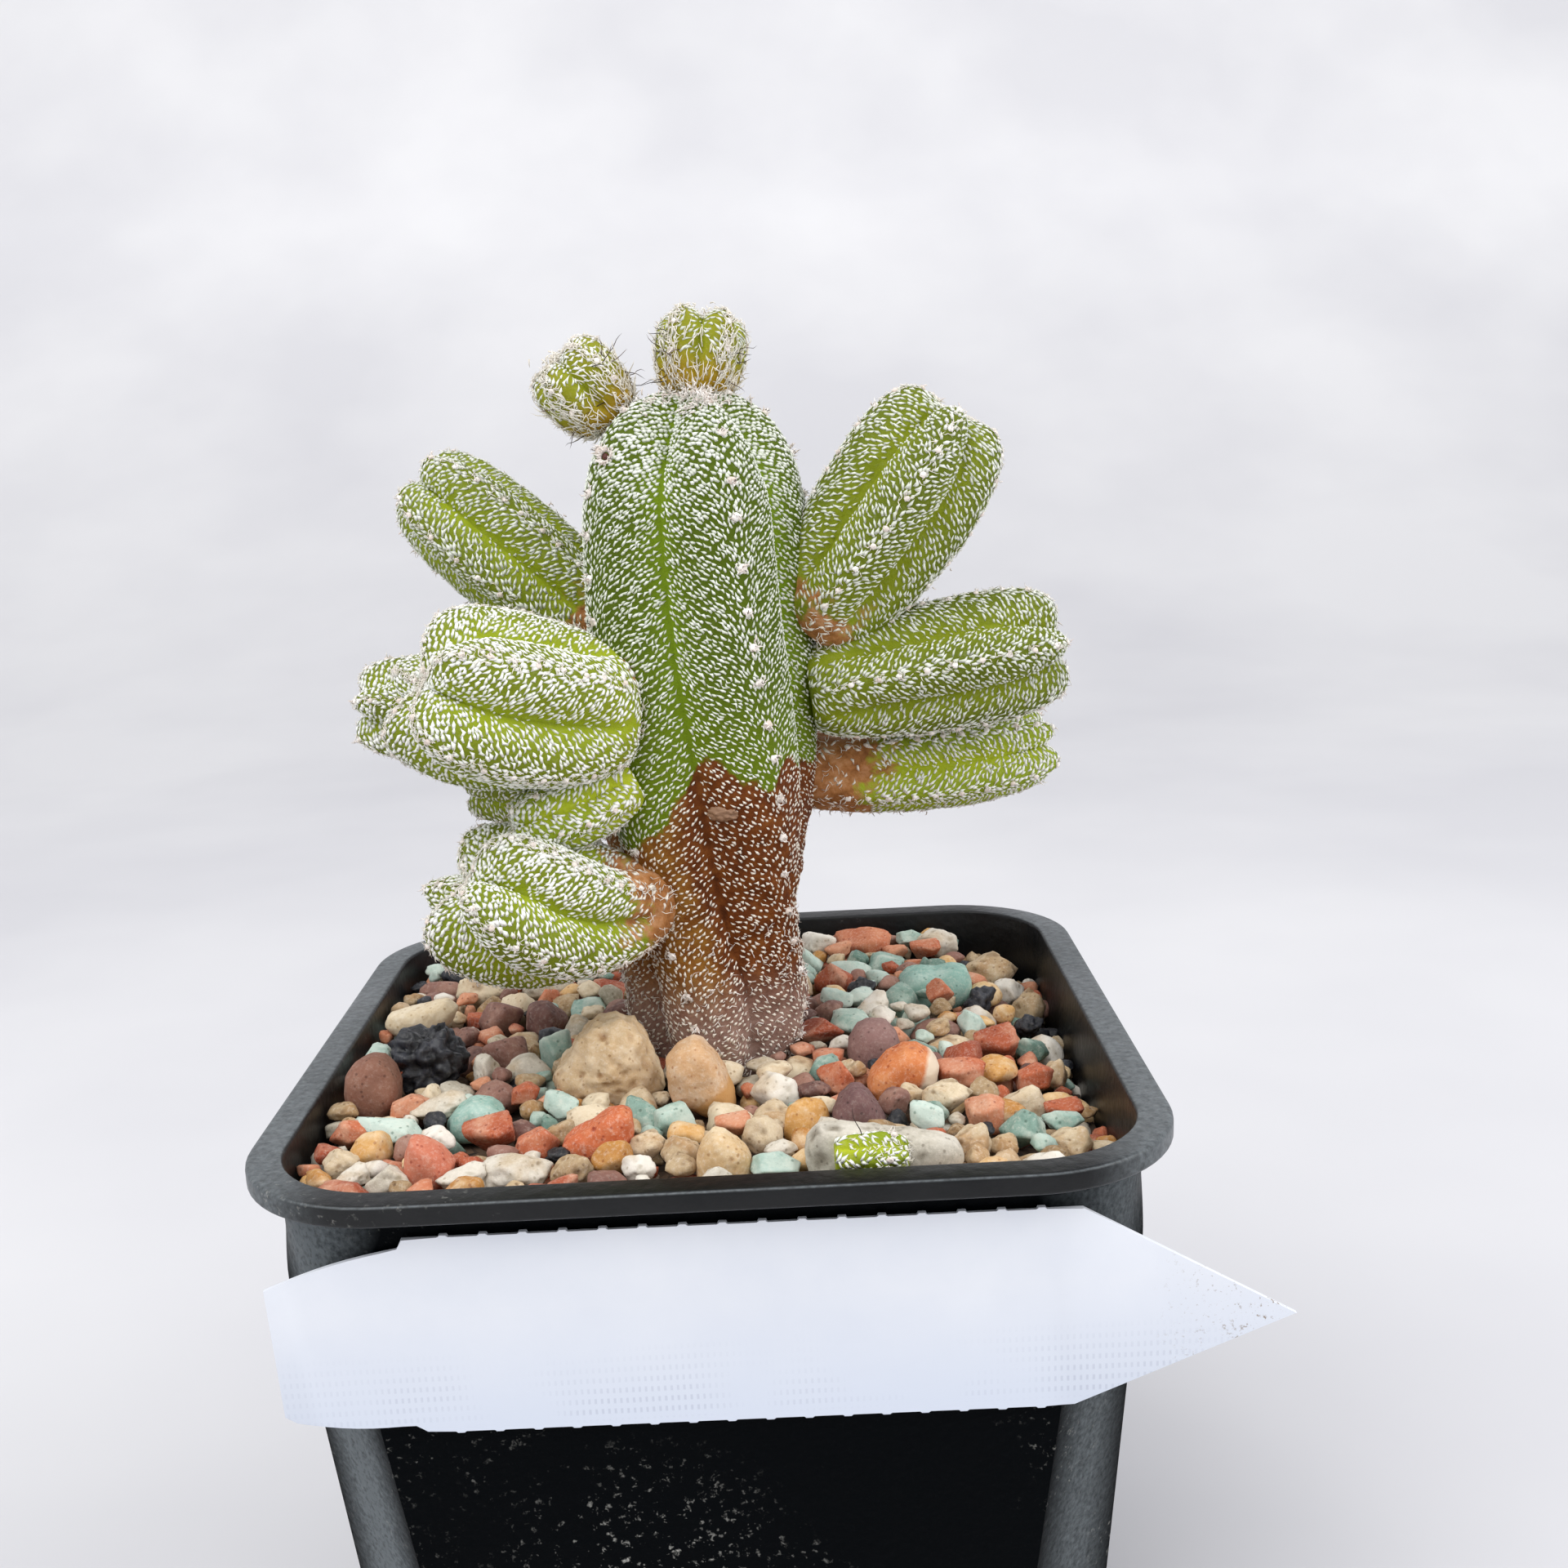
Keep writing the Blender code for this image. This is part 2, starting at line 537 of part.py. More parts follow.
def stem_mesh(grow=0.0):
    # root, neck, body rings at even steps, and the crown
    root, neck, crown = (ROOT_END / MM, SOIL_TOP / MM), STEM_PROFILE[:2], STEM_PROFILE[-4:]
    rings = [stem_ring(height, ROOT_RADIUS / MM, 0.0, None, grow) for height in root]
    rings += [stem_ring(height, radius, stem_groove(height), None, grow) for height, radius in neck]
    low, high = STEM_PROFILE[2][0], crown[0][0]
    count = round((high - low) / STEM_RING_STEP)
    for i in range(count):
        height = low + (high - low) * i / count
        rings.append(stem_ring(height, along(STEM_PROFILE, height), stem_groove(height), i, grow))
    for i, (height, radius) in enumerate(crown):
        rings.append(stem_ring(height + grow / MM, radius, STEM_CROWN_GROOVE, count + i, grow))
    return loft(rings, end_tip=(*STEM_AXIS, STEM_TOP + grow))


def pup_axis(pup, share):
    base, tip = Vector(pup["base"]) * MM, Vector(pup["tip"]) * MM
    middle = (base + tip) / 2 + Vector(pup["bend"]) * MM * 2
    point = (1 - share) ** 2 * base + 2 * share * (1 - share) * middle + share**2 * tip
    ahead = 2 * (1 - share) * (middle - base) + 2 * share * (tip - middle)
    return point, ahead.normalized()


def pup_frame(pup, share):
    # a point on the axis and the directions along it, across it and up from it
    point, ahead = pup_axis(pup, share)
    side = ahead.cross(Vector((0, 0, 1))).normalized()
    return point, ahead, side, side.cross(ahead)


def pup_profile(pup):
    # (share of the length, radius) from the neck to the blunt crown
    radius, neck, wide = pup["radius"] * MM, pup["neck"] * MM, pup["wide"]
    stops = []
    for i in range(NECK_RINGS):
        angle = math.pi / 2 * i / NECK_RINGS
        stops.append((wide * (1 - math.cos(angle)), neck + (radius - neck) * math.sin(angle) ** pup["taper"]))
    for i in range(CROWN_RINGS + 1):
        angle = math.pi / 2 * CROWN_END * i / CROWN_RINGS
        stops.append((wide + (1 - wide) * math.sin(angle), radius * math.cos(angle) ** CROWN_BLUNTNESS))
    return stops


def pup_mesh(pup, grow=0.0):
    rings = []
    length = (Vector(pup["tip"]) - Vector(pup["base"])).length * MM
    for i, (share, radius) in enumerate(pup_profile(pup)):
        point, ahead, side, up = pup_frame(pup, share)
        point = point + ahead * grow * (2 * share - 1)
        depth = PUP_GROOVE * smoothstep(0.0, 0.25, share) + PUP_CROWN_GROOVE * smoothstep(0.75, 1.0, share)
        ring = []
        for rib in range(5):
            for across in PUP_SHARES:
                angle = math.radians(pup["turn"] + pup.get("twist", 0) * share + 72 * rib + 36 * across)
                reach = rib_radius(across, radius, depth) + grow
                if across == 0.0 and (i + rib) % 2 == 0 and PUP_AREOLES[0] < share < PUP_AREOLES[1]:
                    reach += AREOLE_BUMP
                ring.append(point + side * reach * math.sin(angle) + up * reach * math.cos(angle))
        rings.append(ring)
    tip, ahead = pup_axis(pup, 1.0)
    return loft(rings, end_tip=tip - ahead * (CROWN_DENT * length - grow))


def spine(name, start, aim, length):
    bm = bmesh.new()
    place = Matrix.Translation(start + aim * length / 2) @ aim.to_track_quat("Z", "Y").to_matrix().to_4x4()
    bmesh.ops.create_cone(
        bm, cap_ends=True, segments=3, radius1=SPINE_RADIUS, radius2=SPINE_TIP, depth=length, matrix=place,
    )
    return add_object(name, bm)


def add_spines(obj, pup, seed):
    rng = random.Random(seed)
    spines = gather("spines of " + obj.name)
    radius = pup["radius"] * MM
    for i in range(SPINE_COUNT):
        point, ahead, side, up = pup_frame(pup, rng.uniform(*SPINE_BAND))
        angle = 2 * math.pi * (i + rng.uniform(-0.3, 0.3)) / SPINE_COUNT
        outward = side * math.sin(angle) + up * math.cos(angle)
        aim = (outward + ahead * rng.uniform(*SPINE_LEAN)).normalized()
        length = radius * (1 - SPINE_ROOT) + SPINE_LENGTH * rng.uniform(0.7, 1.0)
        move_to(spines, spine(f"{obj.name}_spine_{i}", point + outward * radius * SPINE_ROOT, aim, length))
    combine(obj, spines, "UNION", "MANIFOLD")
    apply_modifiers(obj)
    discard(spines)


def build_plant(stem_cutter):
    add_object("main_stem", stem_mesh(), material("stem skin", (0.10, 0.20, 0.04), 0.6), True)
    for i, (name, pup) in enumerate(PUPS.items()):
        skin = material(name.replace("_", " ") + " skin", PALE_SKIN if name in PALE else SKIN, 0.6)
        obj = add_object(name, pup_mesh(pup), skin, True)
        if name in SPINY:
            add_spines(obj, pup, 70 + i)
        if name != LOOSE:
            combine(obj, stem_cutter, "DIFFERENCE", "MANIFOLD")
        for neighbour in PRESSED.get(name, ()):
            grown = add_object(f"press_{neighbour}_on_{name}", pup_mesh(PUPS[neighbour], SEAT))
            combine(obj, grown, "DIFFERENCE", "MANIFOLD")
        apply_modifiers(obj)
        keep_largest_body(obj)
        weld(obj)


# Label

def bowed(start, end, bulge):
    # points between the two ends of the head's long edges, which bow outwards
    shares = [i / HEAD_STEPS for i in range(1, HEAD_STEPS)]
    return [start.lerp(end, share) + Vector((0, bulge * math.sin(math.pi * share))) for share in shares]


def label_outline():
    top, bottom = [Vector(p) for p in LABEL_TOP], [Vector(p) for p in LABEL_BOTTOM]
    upper = [top[0]] + bowed(top[0], top[1], HEAD_BULGE) + top[1:]
    lower = bottom[:3] + bowed(bottom[2], bottom[3], -HEAD_BULGE) + bottom[3:]
    return upper + [Vector(LABEL_TIP)] + lower


def build_label():
    # the plate lies flat against the sloping front wall, so its sides shear with the slope
    outline = [point * MM for point in label_outline()]
    slope = math.sqrt(1 + WALL_TAPER**2)
    rings = []
    for away in (GAP, GAP + LABEL_THICK):
        ring = []
        for point in outline:
            wall = -(WALL_HALF_TOP - WALL_TAPER * (POT_HEIGHT - point.y))
            ring.append(Vector((point.x, wall - away * slope, point.y)))
        rings.append(ring)
    add_object("plant_label", loft(rings), material("white label plastic", (0.86, 0.87, 0.90), 0.45))


def build():
    clear_scene()
    stem_cutter = as_cutter(add_object("stem_with_clearance", stem_mesh(SEAT)))
    loose_cutter = as_cutter(add_object("loose_pup_with_clearance", pup_mesh(PUPS[LOOSE], SEAT)))
    build_pot()
    build_soil()
    build_gravel(build_stones(stem_cutter, loose_cutter) + [stem_cutter, loose_cutter])
    build_plant(stem_cutter)
    build_label()


build()
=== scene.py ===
import math
from functools import partial

import bmesh
import bpy
import numpy as np
from mathutils import Matrix, Quaternion, Vector, noise
from mathutils.bvhtree import BVHTree


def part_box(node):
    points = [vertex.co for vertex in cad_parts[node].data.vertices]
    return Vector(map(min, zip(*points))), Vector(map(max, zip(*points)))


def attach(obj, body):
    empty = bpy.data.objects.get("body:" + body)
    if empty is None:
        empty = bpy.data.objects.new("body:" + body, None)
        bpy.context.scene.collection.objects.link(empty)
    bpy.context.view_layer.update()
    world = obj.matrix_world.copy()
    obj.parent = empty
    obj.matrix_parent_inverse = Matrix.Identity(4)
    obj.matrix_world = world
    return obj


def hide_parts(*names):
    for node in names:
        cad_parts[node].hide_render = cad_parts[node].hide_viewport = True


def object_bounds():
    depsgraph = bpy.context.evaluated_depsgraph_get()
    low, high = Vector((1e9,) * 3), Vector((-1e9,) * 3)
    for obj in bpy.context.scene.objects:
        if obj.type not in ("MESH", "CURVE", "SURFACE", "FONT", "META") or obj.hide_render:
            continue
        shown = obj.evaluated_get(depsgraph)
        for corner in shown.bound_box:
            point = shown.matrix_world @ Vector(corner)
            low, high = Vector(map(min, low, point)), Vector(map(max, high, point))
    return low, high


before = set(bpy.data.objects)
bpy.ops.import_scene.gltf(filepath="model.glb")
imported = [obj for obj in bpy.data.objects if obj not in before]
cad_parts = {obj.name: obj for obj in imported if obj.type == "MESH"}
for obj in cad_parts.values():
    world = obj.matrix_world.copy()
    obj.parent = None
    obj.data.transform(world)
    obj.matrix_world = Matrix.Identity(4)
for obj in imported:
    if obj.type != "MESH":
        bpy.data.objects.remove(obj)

# Lengths are millimetres, and makePiece turns them into metres. The camera, the studio and the
# places and distances inside the materials are in metres.
mm = 0.001
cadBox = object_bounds()
shownScene = bpy.context.scene
# the output that a kind of node gives back, and its settings, where a call says nothing else
usualNode = {"Mix": {"out": 2, "data_type": "RGBA"}, "Attribute": {"out": 2}, "TexCoord": {"out": 3}}


def linear(hexText):
    # sRGB hex to the linear colour that the shaders work in
    parts = [int(hexText[i:i + 2], 16) / 255 for i in (1, 3, 5)]
    return tuple(c / 12.92 if c <= 0.04045 else ((c + 0.055) / 1.055) ** 2.4 for c in parts) + (1.0,)


def addNode(tree, kind, inputs=(), stops=(), **settings):
    # a shader node; its inputs, by name or number or in their order, are links, hex colours or values
    node = tree.nodes.new("ShaderNode" + kind)
    settings = {"out": 0, **usualNode.get(kind, {}), **settings}
    out = settings.pop("out")
    for name, value in settings.items():
        setattr(node, name, value)
    for k, (place, shade) in enumerate(stops):
        ramp = node.color_ramp.elements
        element = ramp[k] if k < len(ramp) else ramp.new(1.0)
        element.position, element.color = place, linear(shade)
    for name, value in inputs.items() if isinstance(inputs, dict) else enumerate(inputs):
        if isinstance(value, bpy.types.NodeSocket):
            tree.links.new(value, node.inputs[name])
        else:
            node.inputs[name].default_value = linear(value) if isinstance(value, str) else value
    return node.outputs[out] if len(node.outputs) else node


def newMaterial(name):
    # an empty material, and the function that adds nodes to it
    made = bpy.data.materials.new(name)
    made.use_nodes = True
    made.node_tree.nodes.clear()
    return made, partial(addNode, made.node_tree)


def finishMaterial(add, **inputs):
    shader = add("BsdfPrincipled", {name.replace("_", " "): value for name, value in inputs.items()})
    add("OutputMaterial", {"Surface": shader})


def perMm(size):
    # scale of a noise or cell texture whose features are about this many mm across
    return 1000.0 / size


def waveScale(size):
    # scale of a wave texture that repeats every so many mm; at scale 1 it repeats every 314 mm
    return 314 / size


def placed(name, data):
    # an object in the scene that shows this mesh, lamp or lens
    thing = bpy.data.objects.new(name, data)
    shownScene.collection.objects.link(thing)
    return thing


def meshOf(name, bm):
    mesh = bpy.data.meshes.new(name)
    bm.to_mesh(mesh)
    bm.free()
    return mesh


def smoothstep(low, high, value):
    t = np.clip((np.asarray(value, float) - low) / (high - low), 0, 1)
    return t * t * (3 - 2 * t)


def throughStops(stops, places):
    # smooth values through (place, value) stops
    x, y = np.array(stops, float).T
    places = np.clip(places, x[0], x[-1])
    i = np.clip(np.searchsorted(x, places, side="right") - 1, 0, len(x) - 2)
    low, high = np.maximum(i - 1, 0), np.minimum(i + 2, len(x) - 1)
    span = x[i + 1] - x[i]
    slope0 = (y[i + 1] - y[low]) / (x[i + 1] - x[low])
    slope1 = (y[high] - y[i]) / (x[high] - x[i])
    t = (places - x[i]) / span
    return ((2 * t**3 - 3 * t**2 + 1) * y[i] + (t**3 - 2 * t**2 + t) * span * slope0
            + (3 * t**2 - 2 * t**3) * y[i + 1] + (t**3 - t**2) * span * slope1)


def unit(vectors):
    return vectors / np.maximum(np.linalg.norm(vectors, axis=-1, keepdims=True), 1e-9)


def chunk(points, faces, material=0, **values):
    # points in mm, a list of face arrays, the index of their material, and values at the points
    return {"points": np.asarray(points, float), "faces": faces, "material": material, "values": values}


def makePiece(name, chunks, materials, replaced=()):
    # one smooth-shaded mesh of all the chunks, tied to its body, slot and nodes
    offset, corners, sizes, slots = 0, [], [], []
    for part in chunks:
        for group in part["faces"]:
            group = np.asarray(group, np.int64)
            corners.append((group + offset).ravel())
            sizes.append(np.full(len(group), group.shape[1]))
            slots.append(np.full(len(group), part["material"]))
        offset += len(part["points"])
    points = np.concatenate([part["points"] for part in chunks]) * mm
    corners, sizes, slots = np.concatenate(corners), np.concatenate(sizes), np.concatenate(slots)
    mesh = bpy.data.meshes.new(name)
    mesh.vertices.add(len(points))
    mesh.vertices.foreach_set("co", points.astype(np.float32).ravel())
    mesh.loops.add(len(corners))
    mesh.loops.foreach_set("vertex_index", corners.astype(np.int32))
    mesh.polygons.add(len(sizes))
    mesh.polygons.foreach_set("loop_start", np.concatenate([[0], np.cumsum(sizes)[:-1]]).astype(np.int32))
    mesh.polygons.foreach_set("material_index", slots.astype(np.int32))
    mesh.update(calc_edges=True)
    for key in sorted({key for part in chunks for key in part["values"]}):
        layer = mesh.attributes.new(key, "FLOAT", "POINT")
        data = [np.broadcast_to(part["values"].get(key, 0.0), len(part["points"])) for part in chunks]
        layer.data.foreach_set("value", np.concatenate(data).astype(np.float32))
    for surface in materials:
        mesh.materials.append(surface)
    mesh.shade_smooth()
    piece = placed(name, mesh)
    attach(piece, "root")
    if replaced:
        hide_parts(*replaced)
    return piece


def skinOver(grid):
    # closed faces over rings of points, turned so that they face outwards, and the way they ran at first
    rows, columns = grid.shape[:2]
    i, j = np.meshgrid(np.arange(rows - 1), np.arange(columns), indexing="ij")
    k = (j + 1) % columns
    quads = np.stack([i * columns + j, i * columns + k, (i + 1) * columns + k, (i + 1) * columns + j], -1)
    quads = quads.reshape(-1, 4)
    caps = [np.arange(columns)[::-1][None], (np.arange(columns) + (rows - 1) * columns)[None]]
    flat = grid.reshape(-1, 3)
    a, b, c = flat[quads[:, 0]], flat[quads[:, 1]], flat[quads[:, 2]]
    middle = flat.mean(0)
    outward = np.einsum("ij,ij->i", np.cross(b - a, c - a), a - middle).sum() > 0
    faces = [quads] + caps
    return (faces if outward else [group[:, ::-1] for group in faces]), (1.0 if outward else -1.0)


# Camera, floor, light

view = {
    "place": (0.00825, -0.19515, 0.14796), "lens": 41.27, "sensor": 36.0, "nearest": 0.01,
    "yaw": -0.00325, "pitch": 0.20462, "roll": -0.04841,  # radians; pitch is downwards
}
studio = {
    "floor": "#d6d6d8", "wall": "#f2f2f3", "world": "#f5f5f8", "worldStrength": 0.86,
    "halfWidth": 3.0, "front": -2.5, "back": 0.6, "bend": 0.8, "bendStart": 0.05, "top": 3.2, "paleAt": 0.30,
    "keyPower": 9.5, "keySize": 0.9, "keyPlace": (-0.38, -0.45, 1.10),
    "sidePower": 5.5, "sideSize": 0.8, "sidePlace": (0.9, -0.25, 0.65), "lampsAim": (0, 0, 0.1),
}


def buildCamera():
    yaw, pitch, roll = view["yaw"], view["pitch"], view["roll"]
    ahead = Vector((-math.sin(yaw) * math.cos(pitch), math.cos(yaw) * math.cos(pitch), -math.sin(pitch)))
    right = ahead.cross(Vector((0, 0, 1))).normalized()
    up = right.cross(ahead)
    right, up = (math.cos(roll) * right + math.sin(roll) * up, math.cos(roll) * up - math.sin(roll) * right)
    lens = bpy.data.cameras.new("photo camera")
    lens.sensor_width, lens.lens, lens.clip_start = view["sensor"], view["lens"], view["nearest"]
    camera = placed("photo camera", lens)
    turned = Matrix((right, up, -ahead)).transposed().to_4x4()
    camera.matrix_world = Matrix.Translation(view["place"]) @ turned
    shownScene.camera = camera


def buildStage():
    # a pale floor that turns up into a backdrop behind the plant
    # matt emulsion: no gloss, a faint unevenness, and a paler tone up the wall to even out the light
    made, add = newMaterial("painted backdrop board")
    place = add("TexCoord")
    height = add("SeparateXYZ", {0: place}, out=2)
    spread = add("TexNoise", {"Vector": place, "Scale": perMm(260), "Detail": 4.0})
    rise = add("MapRange", [height, 0.0, studio["paleAt"]])
    tint = add("Mix", {0: rise, 6: studio["floor"], 7: studio["wall"]})
    shade = add("ValToRGB", {"Fac": spread}, stops=[(0.38, "#f1f1f3"), (0.62, "#ffffff")])
    tint = add("Mix", {0: 1.0, 6: tint, 7: shade}, blend_type="MULTIPLY")
    finishMaterial(add, Base_Color=tint, Roughness=0.9)
    side, back, bend = studio["halfWidth"], studio["back"], studio["bend"]
    line = [(studio["front"], 0.0), (back, 0.0)]
    line += [(back + bend * math.sin(a), bend * (1 - math.cos(a)))
             for a in np.linspace(studio["bendStart"], math.pi / 2, 16)]
    line.append((back + bend, studio["top"]))
    bm = bmesh.new()
    left, right = ([bm.verts.new((x, y, z)) for y, z in line] for x in (-side, side))
    for i in range(len(line) - 1):
        bm.faces.new((left[i], right[i], right[i + 1], left[i + 1]))
    mesh = meshOf("floor", bm)
    mesh.shade_smooth()
    mesh.materials.append(made)
    floor = placed("floor", mesh)

    world = bpy.data.worlds.new("pale room")
    world.use_nodes = True
    background = world.node_tree.nodes["Background"]
    background.inputs["Color"].default_value = linear(studio["world"])
    background.inputs["Strength"].default_value = studio["worldStrength"]
    shownScene.world = world
    for name in ("key", "side"):
        lamp = bpy.data.lights.new(name + " light", "AREA")
        lamp.energy, lamp.size = studio[name + "Power"], studio[name + "Size"]
        place = Vector(studio[name + "Place"])
        aim = (Vector(studio["lampsAim"]) - place).to_track_quat("-Z", "Y")
        placed(name + " light", lamp).matrix_world = Matrix.Translation(place) @ aim.to_matrix().to_4x4()
    shownScene.view_settings.view_transform = "Standard"


buildCamera()
buildStage()
print("camera and studio set")


# Pot

pot = {
    "height": 80.0, "rimHalf": 45.0, "rimRadius": 15.3, "flange": 3.56, "lipDepth": 2.15, "rimEdge": 0.45,
    "wallHalfTop": 42.28, "taper": 0.0749, "wall": 0.85, "floor": 1.6,
    "chamferTop": 6.59, "chamferGrowth": 0.060, "cornerRadius": 12.3, "roundFade": 13.0, "footEdge": 0.8,
    "cornerSteps": 16, "edgeSteps": 5, "drainRadius": 3.5, "drainOffset": 18.0, "drainCut": 8.0,
    # how grey the corners, the rim's sides and the lip's edges are, partly rubbing wear and partly painted
    # reflection and highlight, how much more the left, lit side gets as painted light, and from which x the
    # rim's sides turn grey
    "cornerRubAndSheen": 0.85, "leftLitGain": 1.7, "rimSideSheen": 1.0, "lipEdgeHighlight": 0.9, "rimSheenFrom": (34, 42),
    "sharpFrom": 34,  # degrees
}


def squareRing(half, corner, height, roundness, radius):
    # corners go from a flat chamfer to an arc as roundness goes from 0 to 1
    steps, flat = pot["cornerSteps"], 1 - roundness
    middle = half - radius
    ring = []
    for quarter in range(4):
        c, s = math.cos(quarter * math.pi / 2), math.sin(quarter * math.pi / 2)
        for i in range(steps + 1):
            share = i / steps
            angle = share * math.pi / 2
            x = (middle + radius * math.cos(angle)) * roundness + (half - corner * share) * flat
            y = (middle + radius * math.sin(angle)) * roundness + (half - corner * (1 - share)) * flat
            ring.append((x * c - y * s, x * s + y * c, height))
    return np.array(ring)


def wallRing(height, inset=0.0):
    drop = pot["height"] - height
    half = pot["wallHalfTop"] - pot["taper"] * drop - inset
    chamfer = pot["chamferTop"] + pot["chamferGrowth"] * drop - inset * (2 - math.sqrt(2))
    roundness = 1 - float(smoothstep(pot["lipDepth"], pot["roundFade"], drop))
    return squareRing(half, chamfer, height, roundness, pot["cornerRadius"] - inset)


def rimRing(half, height):
    return squareRing(half, pot["chamferTop"], height, 1.0, pot["rimRadius"] - (pot["rimHalf"] - half))


def plasticMaterial(name, base, gloss, filmAndShade):
    # injection-moulded polypropylene, black: satin, with the fine spark-eroded grain of its mould, a little
    # pale dust and potting grit, and grey corners, rim sides and lip edges that are partly rubbing wear and
    # partly painted reflection and highlight
    made, add = newMaterial(name)
    place = add("TexCoord")
    rub = add("Attribute", attribute_name="rub")
    grain = add("TexNoise", {"Vector": place, "Scale": perMm(0.55), "Detail": 3.0, "Roughness": 0.6})
    orange = add("TexVoronoi", {"Vector": place, "Scale": perMm(1.1)}, feature="SMOOTH_F1")
    clouds = add("TexNoise", {"Vector": place, "Scale": perMm(22), "Detail": 5.0, "Roughness": 0.65})
    dust = add("TexNoise", {"Vector": place, "Scale": perMm(0.7), "Detail": 2.0, "Roughness": 0.7})
    # specks of grit: cells that a finer noise bends out of round
    warp = add("TexNoise", {"Vector": place, "Scale": perMm(0.6), "Detail": 3.0}, out=1)
    bent = add("VectorMath", {0: warp, 1: (0.002, 0.002, 0.002), 2: place}, operation="MULTIPLY_ADD")
    cells = add("TexVoronoi", {"Vector": bent, "Scale": perMm(1.1)})
    dots = add("MapRange", [cells, 0.08, 0.34, 1.0, 0.0])
    patches = add("MapRange", [clouds, 0.54, 0.70, 0.0, 0.5])
    # the most grit sticks low in the middle of the front wall
    away = add("VectorMath", {0: place, 1: (-0.008, -0.039, 0.037)}, out=1, operation="DISTANCE")
    gritty = add("MapRange", [away, 0.003, 0.017, 1.0, 0.0])
    patches = add("Math", [patches, gritty], operation="ADD")
    crumbs = add("Math", [dots, patches], operation="MULTIPLY")
    dust = add("MapRange", [dust, 0.45, 0.6])
    crumbs = add("Math", [crumbs, dust], operation="MULTIPLY")
    shade = add("MapRange", [clouds, 0.35, 0.75, 0.0, filmAndShade])
    base = add("Mix", {0: shade, 6: base, 7: "#8a8a88"})
    # painted reflection and highlight, partly rubbing wear: the chamfers, rim sides and lip edges turn grey
    worn = add("MapRange", [grain, 0.3, 0.7, 0.35, 1.0])
    worn = add("Math", [worn, rub], operation="MULTIPLY")
    base = add("Mix", {0: worn, 6: base, 7: "#646a6d"})
    base = add("Mix", {0: crumbs, 6: base, 7: "#a9a8a2"})
    rough = add("MapRange", [clouds, 0.3, 0.8, 0.30, 0.55])
    bump = add("Bump", {"Height": orange, "Distance": 0.00012, "Strength": 0.55})
    bump = add("Bump", {"Height": grain, "Distance": 0.00008, "Strength": 0.6, "Normal": bump})
    finishMaterial(add, Base_Color=base, Roughness=rough, IOR=1.49, Specular_IOR_Level=gloss, Normal=bump)
    return made


